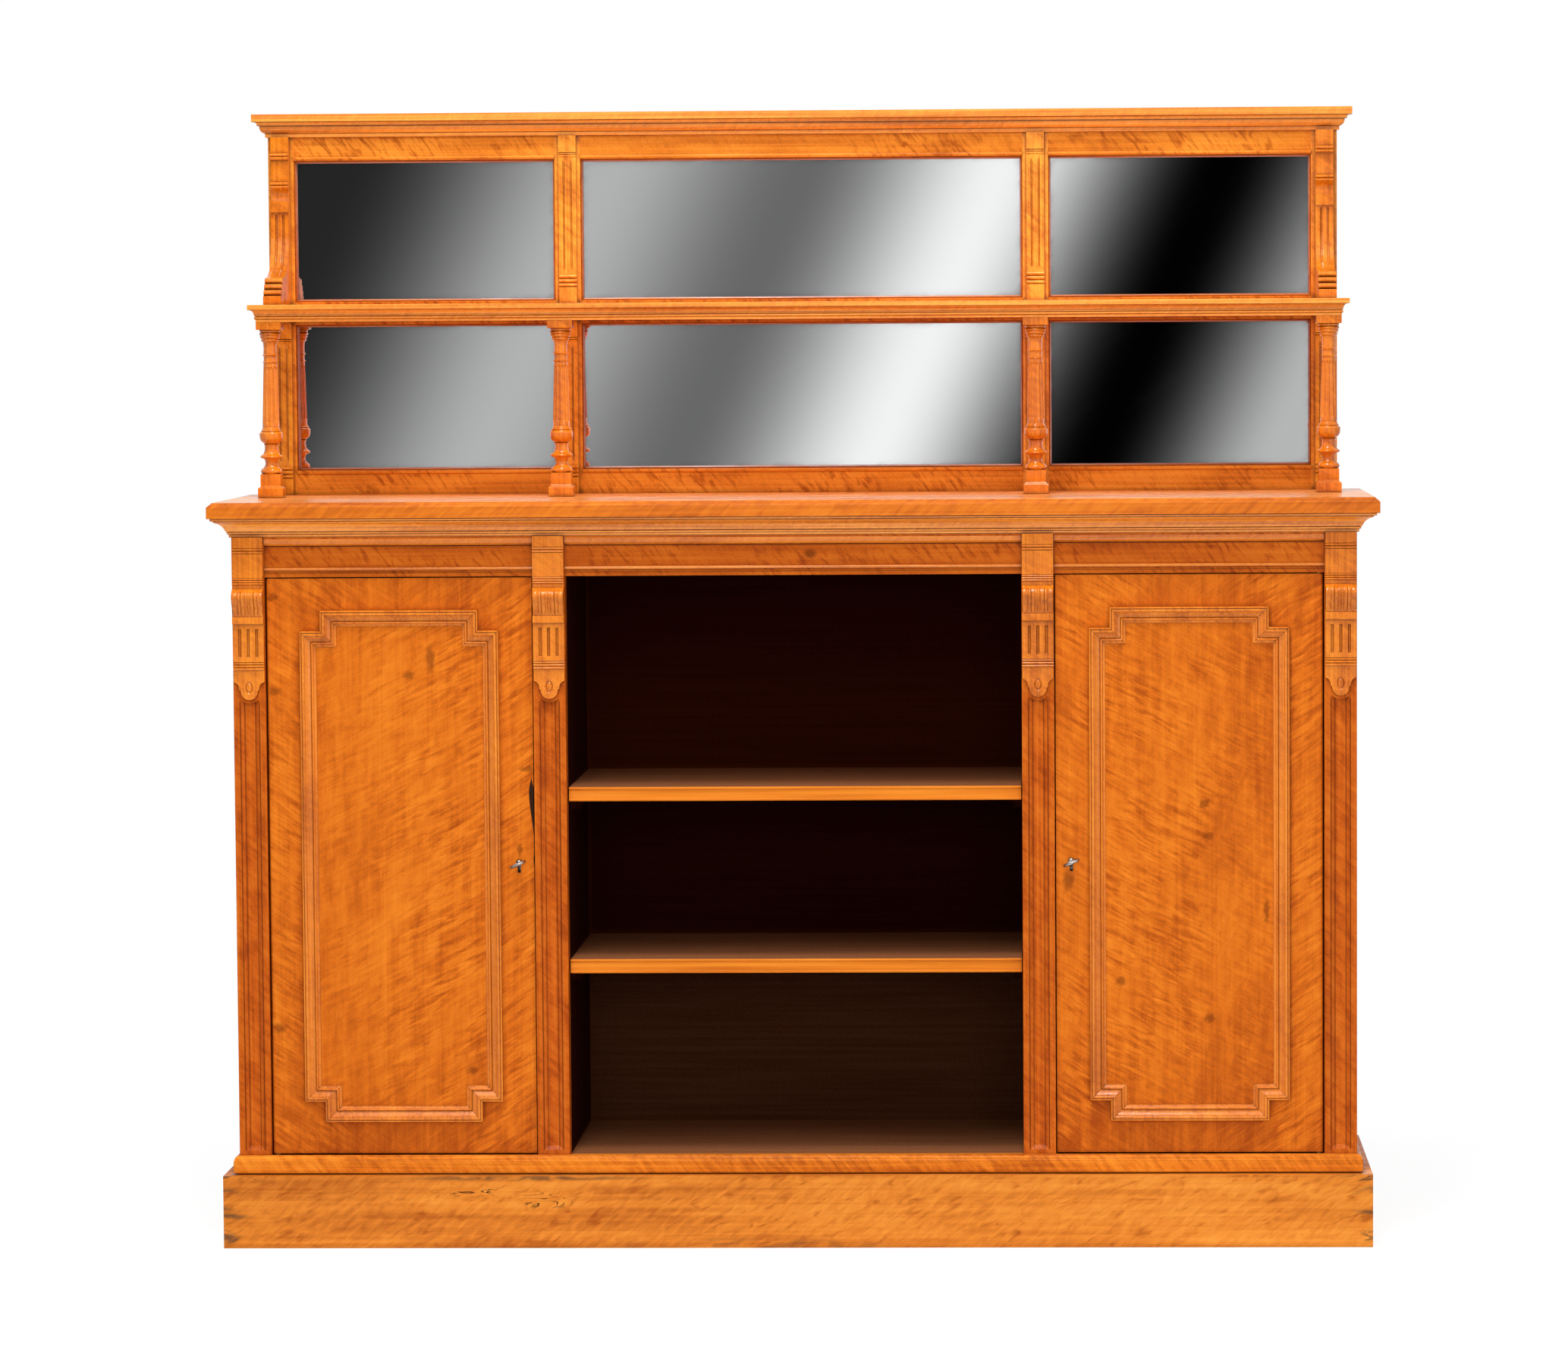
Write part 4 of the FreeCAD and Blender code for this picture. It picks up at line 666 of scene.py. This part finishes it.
def add_column(node, material):
    lo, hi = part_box(node)
    centre = Vector(((lo.x + hi.x) / 2, (lo.y + hi.y) / 2, lo.z))
    tall = (hi.z - lo.z) / MM
    wide = (hi.x - lo.x) / MM / 2
    neck = wide - 3.2
    shape = Shape()
    plinth = [(wide - 0.7, 0.0), (wide, 0.7), (wide, 12.6), (wide - 0.5, 13.4)]
    plinth += bow((wide - 0.5, 13.4), (neck, 18.5), 0.24, 6) + [(neck, 31.2), (neck - 0.7, 31.9)]
    shape.turned(plinth, centre, 40, square_section)
    base = [(11.8, 31.2), (13.0, 31.9)] + bow((13.0, 31.9), (13.0, 38.8), -0.23)
    base += bow((11.8, 39.2), (9.8, 52.2), 0.20, 12) + bow((12.4, 52.6), (12.4, 57.8), -0.52)
    base += bow((10.8, 58.8), (9.0, 70.4), 0.07, 10) + bow((9.0, 70.5), (9.0, 72.4), -0.6, 5)
    base += bow((9.0, 72.6), (15.6, 83.6), -0.17, 10) + bow((15.6, 83.6), (13.2, 88.7), -0.22, 6)
    base += bow((12.3, 88.9), (12.3, 91.4), -0.55, 6) + bow((12.4, 91.6), (11.3, 98.4), 0.10, 6)
    base += [(10.0, 98.8)]
    shape.turned(base, centre)
    levels = [SHAFT_FOOT, FLUTE_FOOT - 0.5] + [FLUTE_FOOT + 0.8 * i for i in range(8)]
    levels += [110.0 + 7.5 * i for i in range(9)]
    levels += [FLUTE_HEAD - 0.8 * i for i in range(6, -1, -1)] + [SHAFT_HEAD]
    taper = SHAFT_TAPER / (SHAFT_HEAD - SHAFT_FOOT)
    shaft = [(SHAFT_RADIUS - taper * (level - SHAFT_FOOT), level) for level in levels]
    shape.turned(shaft, centre, 144, fluted_section)
    capital = [(8.4, 180.4), (9.0, 181.0)] + bow((9.0, 181.0), (9.0, 183.0), -0.75, 6)
    capital += bow((9.1, 183.4), (9.1, 190.6), 0.05, 4) + bow((9.0, 190.8), (9.0, 193.0), -0.75, 6)
    capital += bow((9.2, 193.4), (9.6, 208.8), 0.04, 6) + bow((9.8, 209.0), (11.4, 213.2), -0.28, 6)
    capital += bow((11.2, 213.5), (12.8, 217.6), -0.30, 6) + bow((12.6, 217.9), (13.2, 221.6), -0.42, 6)
    capital += [(12.8, 221.9), (13.5, 222.3), (14.2, 224.8), (13.6, 225.6), (12.0, 226.0)]
    shape.turned(capital, centre)
    shape.turned([(wide - 0.6, 225.5), (wide, 226.1), (wide, tall)], centre, 40, square_section)
    shape.piece("turned_" + node, material, node)


# Carved corbels, in millimetres

CORBEL_BACK = 18.0
SCROLL_SWELL = 9.6
SCROLL_LEAN = 2.1
SCROLL_LINES = (-3.4, 0.0, 3.4)
SCROLL_LOBES = ((16.9, 4.0), (10.6, 2.4))
LOBE_DEPTH = 2.2
PANEL_FLUTES = (-11.2, 0.0, 11.2)
PANEL_MARGIN = 6.0


def add_corbel(node, material):
    """Cap, reeded band, block, reeds, grooved scroll, ledge, fluted panel, reeds, and a pendant."""
    lo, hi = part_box(node)
    y = lo.y + CORBEL_BACK * MM
    top = hi.z / MM
    wide = (hi.x - lo.x) / 2 / MM
    cap, band, block = top - 14.0, top - 22.0, top - 53.5
    reed, fillet, scroll = top - 62.5, top - 67.5, top - 104.5
    ledge, fluted, plate = top - 114.0, top - 164.0, top - 175.0
    out, sunk, low = 8.0, 7.0, 5.5
    profile = [(0.0, plate), (low, plate)] + stepped_reeds(low, plate, fluted - plate, 3)
    profile += [(sunk, fluted), (sunk, fluted + 3)]
    profile += [(sunk, fluted + 3 + (ledge - fluted - 6) * i / 44) for i in range(1, 45)]
    profile += [(sunk, ledge), (out + 2.2, ledge), (out + 3.0, ledge + 0.8), (out + 3.0, scroll - 0.5)]
    profile += [(out + 2.5, scroll), (out, scroll)]
    for i in range(1, 31):
        swell = SCROLL_SWELL * math.sin(math.pi * (i / 30) ** SCROLL_LEAN)
        profile.append((out + swell, scroll + (fillet - scroll) * i / 30))
    profile += [(out - 1.5, fillet), (out - 1.5, reed), (sunk, reed)]
    profile += stepped_reeds(sunk, reed, block - reed, 3)
    profile += [(out, block), (out, band), (sunk, band)] + stepped_reeds(sunk, band, cap - band, 2)
    profile += [(out, cap), (out, top), (0.0, top)]

    def carve(share, height):
        across = (2 * share - 1) * wide
        ends = min(height - fluted, ledge - height) - PANEL_MARGIN
        if ends > 0:
            return max(hollow(across - at, 1.9, 2.6) for at in PANEL_FLUTES) * round_end(ends / 2.5)
        if scroll < height < fillet:
            ends = min(1.0, min(height - scroll, fillet - height) / 4.0)
            thin = max(hollow(across - at, 0.9, 1.0) for at in SCROLL_LINES)
            lobes = max(hollow(abs(across) - at, reach, LOBE_DEPTH) for at, reach in SCROLL_LOBES)
            return max(thin, LOBE_DEPTH - lobes if abs(across) > 8.2 else 0.0) * ends
        return 0.0

    shape = Shape()
    shape.band(profile, lo.x, hi.x, y, carve, 97)
    add_pendant(shape, (lo.x + hi.x) / 2, wide, y, plate, top - 190.0, top - 214.0)
    shape.piece("carved_" + node, material, node)


def add_pendant(shape, middle, wide, y, plate, shoulder, foot):
    """Plate under a corbel that draws in to a round drop, with a sunk oval ring on its face."""
    drop = 11.4
    edge = [(wide, plate), (wide, shoulder)]
    edge += bow((wide, shoulder), (drop + 2.0, foot + drop + 1.5), -0.20, 10) + [(drop, foot + drop + 1.0)]
    edge += [(drop * math.cos(turn), foot + drop - drop * math.sin(turn))
             for turn in (math.pi / 2 * i / 16 for i in range(17))]
    thick, arris, stations, row_height = 4.5, 0.7, 81, 0.5
    oval_height, oval_wide, oval_tall, ring, ring_depth = foot + 16.0, 4.0, 6.6, 0.20, 1.4

    def sink(across, height):
        away = math.hypot(across / oval_wide, (height - oval_height) / oval_tall)
        return ring_depth * math.exp(-((away - 1.0) / ring) ** 2)

    fine = []
    for (x0, z0), (x1, z1) in zip(edge, edge[1:]):
        count = max(1, round(abs(z1 - z0) / row_height))
        fine += [(x0 + (x1 - x0) * i / count, z0 + (z1 - z0) * i / count) for i in range(count)]
    front, back = [], []
    for reach, height in fine + [(0.4, foot)]:
        row, rear = [], []
        for k in range(stations):
            across = reach * (2 * k / (stations - 1) - 1)
            at_edge = arris if k in (0, stations - 1) else 0.0
            out = thick - at_edge - sink(across, height)
            row.append((middle + across * MM, y - out * MM, height * MM))
            rear.append((middle + across * MM, y, height * MM))
        front.append(row)
        back.append(rear[::-1])
    ahead = shape.grid(front)
    behind = [row[::-1] for row in shape.grid(back)]
    for i in range(len(ahead) - 1):
        for end in (0, -1):
            shape.faces.append((ahead[i][end], ahead[i + 1][end], behind[i + 1][end], behind[i][end]))
    for i in (0, -1):
        shape.faces.append(ahead[i] + behind[i][::-1])


# Gallery strips and brackets, and mouldings under the counter

STRIP_WIDTH = 24.0 * MM


def add_strips(node, centres, material):
    """Flat fluted pilasters on the stiles."""
    lo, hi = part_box(node)
    low, top = lo.z / MM, hi.z / MM
    block, flat = 6.0, 4.0
    base, neck = low + 22.0, top - 29.5
    foot, cap = base + 17.4, top - 23.0
    profile = [(0.0, low), (block, low), (block, base), (flat, base)]
    profile += stepped_reeds(flat, base, foot - base, 3)
    rise = (neck - foot) / 40
    profile += [(flat, foot + rise * i) for i in range(1, 41)] + stepped_reeds(flat, neck, cap - neck, 2)
    profile += [(block, cap), (block, top), (0.0, top)]

    def carve(share, height):
        ends = min(height - foot, neck - height) - PANEL_MARGIN
        return groove(share, 2, 0.84, 1.8, 0.26) * min(1.0, ends / 2.0) if ends > 0 else 0.0

    shape = Shape()
    for x in centres:
        shape.band(profile, x - STRIP_WIDTH / 2, x + STRIP_WIDTH / 2, hi.y, carve, 65)
    shape.piece("fluted_" + node, material, node)


def add_brackets(material):
    """End brackets: banded head, block, and a grooved sweep down to a reeded foot that steps forward."""
    node = "gallery_brackets"
    lo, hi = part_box(node)
    low, top = lo.z / MM, hi.z / MM
    head, step, toe, tread, riser, reeds = 20.0, 4.0, 112.0, 7.0, 8.0, 9.0
    foot_top = low + 12.0
    profile = [(0.0, low), (toe, low), (toe, foot_top - 0.6), (toe - 0.6, foot_top)]
    for _ in range(3):
        toe -= tread
        profile += [(toe, foot_top)] + stepped_reeds(toe, foot_top, riser, 1, 0.36)
        foot_top += riser
    toe -= tread
    neck = top - 22.0
    block = neck - 80.0
    cove, band = block + 15.0, block + 32.0
    plain = band + reeds
    bend = foot_top + 55.0
    profile += [(toe, foot_top)] + bow((toe, foot_top), (head, bend), 0.207, 40)
    profile += [(head, bend + (block - bend) * i / 16) for i in range(1, 17)]
    profile += [(head + step, block), (head + step, cove), (head - step, cove)]
    profile += bow((head - step, cove), (head, band), 0.2, 8) + stepped_reeds(head, band, reeds, 2)
    profile += [(head - step, plain), (head - step, plain + 30.0), (head, plain + 30.0)]
    profile += stepped_reeds(head, plain + 30.0, reeds, 2)
    profile += [(head - step, neck), (head - step, top), (0.0, top)]

    def carve(share, height):
        ends = min(height - foot_top - 0.5, block - 2.0 - height)
        return groove(share, 2, 0.755, 2.2, 0.34) * min(1.0, ends / 2.5) if ends > 0 else 0.0

    shape = Shape()
    for x in (lo.x, hi.x - STRIP_WIDTH):
        shape.band(profile, x, x + STRIP_WIDTH, hi.y, carve, 49)
    shape.piece("carved_" + node, material, node)


def add_counter_cornice(material):
    """Mitred cornice under the counter: fillet, broad hollow, small roll and a foot."""
    node = "counter_cornice"
    lo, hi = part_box(node)
    low, top = lo.z / MM, hi.z / MM
    reach = ((hi.x - lo.x) / 2 - CARCASS_HALF) / MM
    profile = [(0.0, low), (2.6, low), (3.0, low + 0.4), (3.0, low + 3.6), (4.4, low + 3.9)]
    profile += bow((4.4, low + 3.9), (4.8, low + 7.2), -0.34, 6) + [(6.6, low + 7.5)]
    profile += bow((6.6, low + 7.5), (19.4, top - 5.6), 0.13, 14) + [(20.4, top - 5.3), (20.8, top - 4.9)]
    profile += bow((20.8, top - 4.9), (20.8, top - 3.5), -0.5, 4) + [(reach - 0.6, top - 3.3)]
    profile += [(reach, top - 2.7), (reach, top - 0.6), (reach - 0.5, top), (0.0, top)]
    middle, front = (lo.x + hi.x) / 2, lo.y + reach * MM
    rings = []
    for way, y, mitre in ((-1, hi.y, 0.0), (-1, front, 1.0), (1, front, 1.0), (1, hi.y, 0.0)):
        rings.append([(middle + way * (CARCASS_HALF + out * MM), y - out * mitre * MM, height * MM)
                      for out, height in profile])
    shape = Shape()
    for pair in zip(rings, rings[1:]):
        shape.tube(pair)
    shape.piece("moulded_" + node, material, node)


def add_frieze_roll(node, material):
    """Polished roll at the head of a frieze, under the cornice, and a fine bead above its foot."""
    lo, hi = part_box(node)
    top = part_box("counter_cornice")[0].z / MM - 1.2
    foot = top - 10.6
    bead = lo.z / MM + 9.2
    bead_top = bead + 4.0
    shape = Shape()
    roll = [(0.0, foot), (0.8, foot)] + bow((0.8, foot), (6.2, top), -0.26, 12) + [(0.0, top)]
    fine = [(0.0, bead), (2.6, bead)] + bow((2.6, bead), (1.0, bead_top), -0.30, 8) + [(0.0, bead_top)]
    for profile in (roll, fine):
        shape.band(profile, lo.x, hi.x, FRIEZE_FACE_Y)
    shape.piece(node + "_roll", material)


# Door mouldings

MITRE_GAP = 0.2 * MM


def add_door_moulding(side, material):
    """Mitred moulding that steps in at the door's corners."""
    node = side + "_door_moulding"
    lo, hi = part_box(node)
    x0, x1, z0, z1 = lo.x, hi.x, lo.z, hi.z
    notch = DOOR_NOTCH
    corners = [
        (x0 + notch, z0), (x1 - notch, z0), (x1 - notch, z0 + notch), (x1, z0 + notch),
        (x1, z1 - notch), (x1 - notch, z1 - notch), (x1 - notch, z1), (x0 + notch, z1),
        (x0 + notch, z1 - notch), (x0, z1 - notch), (x0, z0 + notch), (x0 + notch, z0 + notch),
    ]
    profile = [(0.0, 0.0), (0.0, 8.2), (0.7, 9.0), (1.9, 9.0), (2.2, 8.0), (2.8, 8.0), (3.1, 8.8), (5.6, 8.8)]
    profile += [(6.1, 8.4), (6.3, 7.4), (7.0, 7.4)] + bow((7.0, 7.4), (14.4, 2.4), -0.07, 10)
    profile += [(14.5, 3.4)] + bow((14.5, 3.4), (17.5, 3.2), 0.50, 8)
    profile += [(17.6, 2.0)] + bow((17.6, 2.0), (20.4, 0.9), -0.16, 5) + [(21.0, 0.9), (21.0, 0.0)]
    corners = [Vector(corner) for corner in corners]
    count = len(corners)
    ways = [(corners[(i + 1) % count] - corners[i]).normalized() for i in range(count)]
    shape = Shape()
    for i in range(count):
        rows = []
        for at, gap in ((i, MITRE_GAP), ((i + 1) % count, -MITRE_GAP)):
            before, after = ways[at - 1], ways[at]
            inward = Vector((-before.y - after.y, before.x + after.x))
            first = corners[at] + ways[i] * gap
            rows.append([(first.x + inward.x * in_by * MM, hi.y - out * MM, first.y + inward.y * in_by * MM)
                         for in_by, out in profile])
        shape.tube(rows)
    shape.piece("mitred_" + node, material, node, body=side + "_door", smooth=28.0)


# Keys, in millimetres and degrees

KEY_TILT = -24.0
BOW_RADIUS = 10.0
BOW_WIRE = 1.9
BIT_HALF = 1.25
BIT_REACH = 10.0


def add_key(side, material):
    """Pipe key with a round bow, collared shank and bit, turned about its own axis."""
    node = side + "_key"
    lo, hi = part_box(node)
    x, z = (lo.x + hi.x) / 2, (lo.z + hi.z) / 2
    front, rear = lo.y / MM, hi.y / MM
    tilt = math.radians(KEY_TILT if side == "right" else KEY_TILT - 180.0)
    turn = Matrix.Translation((x, 0, z)) @ Matrix.Rotation(tilt, 4, "Y")

    def placed(points):
        return [tuple(turn @ (Vector(point) * MM)) for point in points]

    shape = Shape()
    upright = Vector((0, 0, 1))
    rings = []
    for angle in circle(40):
        way = Vector((math.cos(angle), math.sin(angle), 0.0))
        middle = Vector((0, front + 12.0, 0)) + way * BOW_RADIUS
        rings.append(placed(middle + (way * math.cos(lean) + upright * math.sin(lean)) * BOW_WIRE
                            for lean in circle(12)))
    shape.grid(rings, around=True, closed=True)
    shank = [(2.2, front + 21.5), (3.2, front + 22.6), (2.6, front + 24.0), (2.7, front + 29.0)]
    shank += bow((3.9, front + 29.2), (3.9, front + 32.6), 0.0, 4) + [(2.7, front + 33.0), (2.7, rear)]
    shape.tube([placed((radius * math.cos(angle), along, radius * math.sin(angle)) for angle in circle(24))
                for radius, along in shank])
    corners = ((1.0, -BIT_HALF), (BIT_REACH, -BIT_HALF), (BIT_REACH, BIT_HALF), (1.0, BIT_HALF))
    shape.tube([placed((u, along, v) for u, v in corners) for along in (rear - 13.3, rear - 7.3)])
    shape.piece("worn_" + node, material, node, body=side + "_key", slot="steel")


# Studio, in metres

FLOOR_HALF = 60.0
FLOOR_Z = -0.0004
FLOOR_GLOW = 0.92
SHADOW_REACH = (0.9, 1.6)
CARD_Y = -12.0
CARD_LOW = (-4.2, CARD_Y, 0.3)
CARD_HIGH = (2.6, CARD_Y, 2.6)
CARD_LEAN = 0.45
# Places of the card's bands as the mirrors show them, and their brightness before gamma
CARD_BANDS = ((-1.26, 0.164), (-0.905, 0.69), (-0.635, 0.405),
              (-0.366, 0.946), (-0.066, 0.031), (0.18, 0.705))
AMBIENT = 0.20
LAMP_AIM = (0.0, 0.0, 0.8)


def add_camera():
    data = bpy.data.cameras.new("camera")
    data.sensor_fit = "HORIZONTAL"
    data.sensor_width = SENSOR_WIDTH
    data.lens = FOCAL_PIXELS / IMAGE_WIDTH * SENSOR_WIDTH
    data.shift_x = (IMAGE_WIDTH / 2 - CENTRE_PIXEL[0]) / IMAGE_WIDTH
    data.shift_y = (CENTRE_PIXEL[1] - IMAGE_HEIGHT / 2) / IMAGE_WIDTH
    camera = add_object("camera", data)
    turn = Matrix.Rotation(CAMERA_YAW, 4, "Z") @ Matrix.Rotation(math.pi / 2 - CAMERA_PITCH, 4, "X")
    camera.matrix_world = Matrix.Translation(CAMERA_PLACE) @ turn @ Matrix.Rotation(CAMERA_ROLL, 4, "Z")
    bpy.context.scene.camera = camera


def seen_rays(t):
    """One for camera, glossy and transmission rays."""
    path = t.node("LightPath")
    return t.most(*[path.outputs["Is %s Ray" % kind] for kind in ("Camera", "Glossy", "Transmission")])


def flat_sheet(name, low, high, material):
    """Four-sided sheet of the studio between two opposite corners."""
    mesh = bpy.data.meshes.new(name)
    mesh.from_pydata([low, (high[0], *low[1:]), high, (low[0], *high[1:])], [], [(0, 1, 2, 3)])
    mesh.materials.append(material)
    made = add_object(name, mesh)
    return made


def add_floor():
    """Pale floor that keeps the shadow near the sideboard and runs into the white background."""
    t, place = start("studio_floor")
    away = t.node("VectorMath", {"operation": "LENGTH"}, Vector=place).outputs["Value"]
    pale = t.node("BsdfDiffuse", Color=FLOOR_TONE).outputs[0]
    shadowed = t.node("BsdfDiffuse", Color=SHADOW_TONE).outputs[0]
    glow, white = [t.node("Emission", Color=WHITE, Strength=power).outputs[0] for power in (FLOOR_GLOW, 1.0)]
    near = t.shaders("AddShader", shadowed, glow)
    seen = t.shaders("MixShader", near, white, Fac=t.fit(away, *SHADOW_REACH))
    floor = t.ended(t.shaders("MixShader", pale, seen, Fac=seen_rays(t)))
    flat_sheet("floor", (-FLOOR_HALF, -FLOOR_HALF, FLOOR_Z), (FLOOR_HALF, FLOOR_HALF, FLOOR_Z), floor)


def add_card():
    """Shaded card behind the camera that the mirrors show as soft slanting bands."""
    t, place = start("studio_card")
    x, z = t.axes(place, "XZ")
    mirror_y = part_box("lower_mirrors")[0].y
    reach = (mirror_y - CARD_Y) / (mirror_y - CAMERA_PLACE[1]) + 1.0
    level = t.math("MULTIPLY_ADD", z, -CARD_LEAN, x)
    base = (CAMERA_PLACE[0] - CARD_LEAN * CAMERA_PLACE[2]) * (1.0 - reach)
    slant = t.math("DIVIDE", t.math("SUBTRACT", level, base), reach)
    low, high = -1.40, 0.40
    share = t.fit(slant, low, high)
    share.node.interpolation_type = "LINEAR"
    bands = t.ramp(share, *[((at - low) / (high - low), (tone,) * 3) for at, tone in CARD_BANDS])
    bands.node.color_ramp.interpolation = "EASE"
    colour = t.node("Gamma", Color=bands, Gamma=2.2).outputs["Color"]
    material = t.ended(t.node("Emission", Color=colour, Strength=1.06).outputs[0])
    card = flat_sheet("card", CARD_LOW, CARD_HIGH, material)
    card.visible_camera = False
    card.visible_diffuse = False
    card.visible_shadow = False


def add_lamp(name, place, size, power, aim=LAMP_AIM, shine=True):
    data = bpy.data.lights.new(name, "AREA")
    data.shape = "RECTANGLE"
    data.size, data.size_y = size
    data.energy = power
    lamp = add_object(name, data)
    lamp.location = place
    lamp.rotation_euler = (Vector(aim) - Vector(place)).to_track_quat("-Z", "Y").to_euler()
    lamp.visible_camera = False
    lamp.visible_glossy = shine


def add_world():
    world = bpy.data.worlds.new("studio")
    bpy.context.scene.world = world
    t = Tree(world)
    strength = t.fit(seen_rays(t), 0.0, 1.0, AMBIENT, 1.0)
    t.ended(t.node("Background", Color=WHITE, Strength=strength).outputs[0], "OutputWorld")


def paint(material, *names):
    for name in names:
        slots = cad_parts[name].data.materials
        slots.clear()
        slots.append(material)


bpy.context.scene.view_settings.view_transform = "Standard"

# Materials

UPRIGHT = {"angle": 90, "ripple": 0.10, "slant": 40.0,
           "ripple_size": (0.030, 0.007), "cloud_size": (0.05, 0.018)}
LEVEL = {"angle": 0, "ripple": 0.05, "slant": 30.0}
CRISP = {"gloss": (0.16, 0.26), "soft": 0.0}
pilaster_wood = case_wood("pilaster_wood", CASE_TONE, **UPRIGHT, marks=panel_shade_lines)
upright_wood = case_wood("upright_wood", CASE_TONE, **UPRIGHT, marks=inside_marks)
stile_wood = case_wood("stile_wood", STILE_LIT_TONE, **UPRIGHT, gloss=(0.16, 0.26), soft=0.0003, dirt=0.8,
                       shine=0.30)
bead_wood = case_wood("bead_wood", BEAD_TONE, 0, 0.08, 40.0)
level_wood = case_wood("level_wood", MOULDING_TONE, 0, 0.12, -40.0)
carved_wood = case_wood("carved_wood", CARVED_TONE, 90, 0.07, 30.0, gloss=(0.12, 0.22), soft=0.0, dirt=0.8,
                        shine=0.38)
cornice_wood = case_wood("cornice_wood", CORNICE_TONE, **LEVEL, cloud_size=(0.5, 0.008), grain_swing=0.14,
                         rules=CORNICE_SHADOW_LINES, gloss=(0.24, 0.34), shine=0.40)
counter_cornice_wood = case_wood(
    "counter_cornice_wood", CORNICE_TONE, **LEVEL, cloud_size=(0.4, 0.006), grain_swing=0.14,
    rules=COUNTER_SHADOW_LINES, gloss=(0.22, 0.32), soft=0.0, shine=0.60)
roll_wood = case_wood("roll_wood", MOULDING_TONE, **LEVEL, **CRISP, dirt=0.7, shine=0.60)
door_moulding = case_wood("door_moulding", MOULDING_TONE, 90, 0.05, 30.0, **CRISP, dirt=0.8, shine=0.36)
top_wood = worn_top_with_painted_sheen("top_wood")
frieze_top, frieze_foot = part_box("counter_cornice")[0].z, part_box("centre_frieze")[0].z
# Painted shadow lines: under the roll, and about the bead
frieze_veneer = frieze_wood("frieze_veneer", FRIEZE_TONE, (
    (frieze_top - 12.4 * MM, 0.85), (frieze_foot + 5.2 * MM, 0.55), (frieze_foot + 8.6 * MM, 0.45)))
gallery_veneer = frieze_wood("gallery_veneer", GALLERY_LIT_TONE)
plinth_veneer = plinth_wood("plinth_veneer")
door_veneer = door_wood("door_veneer")
dark_wood = inner_wood("dark_wood", INNER_TONE)
upper_low, upper_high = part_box("upper_centre_shelf")
shelf_wood = inner_wood("shelf_wood", SHELF_TONE, front_y=upper_low.y + 4.0 * MM)
upper_z, lower_z = upper_high.z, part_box("lower_centre_shelf")[0].z
# Painted light low in the bays, and painted shade under the upper shelf
case_back = inner_wood("case_back", INNER_TONE, back_y=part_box("carcass_back")[0].y + 1.0 * MM, heights=(
    (upper_z + 0.05, upper_z + 0.20, LIT_BAY_FOOT_TONE), (upper_z - 0.01, upper_z, INNER_TONE),
    (lower_z - 0.02, lower_z, LIT_FLOOR_BAY_TONE)))
back_boards = plain_wood("back_boards", 90)
plinth_inside = plain_wood("plinth_inside", 0)
silver = mirror_glass("mirror_silver")
old_brass = metal("old_brass", BRASS, DULL_BRASS, 0.28, 0.5)
old_steel = metal("old_steel", STEEL, DULL_STEEL, 0.22, 0.45)

for side in ("left", "right"):
    paint(upright_wood, side + "_side_panel")
    paint(pilaster_wood, side + "_inner_pilaster", side + "_outer_pilaster")
    paint(dark_wood, side + "_partition", side + "_cupboard_shelf")
    paint(door_veneer, side + "_door_panel")
    paint(old_steel, side + "_lock_case", side + "_lock_bolt")
    paint(old_brass, side + "_hinge_pivots")
paint(stile_wood, "gallery_stiles")
paint(frieze_veneer, "left_frieze", "right_frieze", "centre_frieze")
paint(gallery_veneer, "gallery_friezes", "gallery_rails")
paint(level_wood, "base_moulding")
paint(bead_wood, "mirror_beads")
paint(cornice_wood, "gallery_shelf", "gallery_cornice")
paint(top_wood, "counter_top")
paint(plinth_veneer, "plinth_front", "plinth_left_end", "plinth_right_end")
paint(dark_wood, "shelf_bearers_and_stops")
paint(shelf_wood, "base_board", "upper_centre_shelf", "lower_centre_shelf")
paint(case_back, "carcass_back")
paint(back_boards, "gallery_backboard")
paint(plinth_inside, "plinth_back", "plinth_corner_blocks")
paint(silver, "lower_mirrors", "upper_mirrors")
paint(old_brass, "hinge_sockets")

# Carved, turned and moulded pieces

stile_centres = []
for column in ("left_outer", "left_inner", "right_inner", "right_outer"):
    add_column(column + "_column", carved_wood)
    lo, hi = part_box(column + "_column")
    stile_centres.append((lo.x + hi.x) / 2)
for side in ("left", "right"):
    for place in ("inner", "outer"):
        add_corbel("%s_%s_corbel" % (side, place), carved_wood)
    add_door_moulding(side, door_moulding)
    add_key(side, old_steel)
add_counter_cornice(counter_cornice_wood)
for node in ("left_frieze", "centre_frieze", "right_frieze"):
    add_frieze_roll(node, roll_wood)
add_strips("lower_pilasters", stile_centres, stile_wood)
add_strips("upper_pilasters", stile_centres[1:3], stile_wood)
add_brackets(carved_wood)

# Studio

add_camera()
add_world()
add_floor()
add_card()
add_lamp("key_lamp", (-0.3, -2.7, 4.4), (1.0, 2.6), 80)
add_lamp("top_lamp", (0.0, -1.3, 4.3), (0.8, 0.8), 68, aim=(0.0, -0.1, 1.0))
add_lamp("front_lamp", (0.3, -6.5, 1.6), (3.0, 1.6), 100, shine=False)
add_lamp("back_lamp", (1.5, 5.0, 2.6), (2.0, 2.0), 60, shine=False)
add_lamp("left_lamp", (-4.2, -4.0, 1.5), (1.8, 2.4), 15)
add_lamp("right_lamp", (4.2, -4.0, 1.5), (1.8, 2.4), 32)
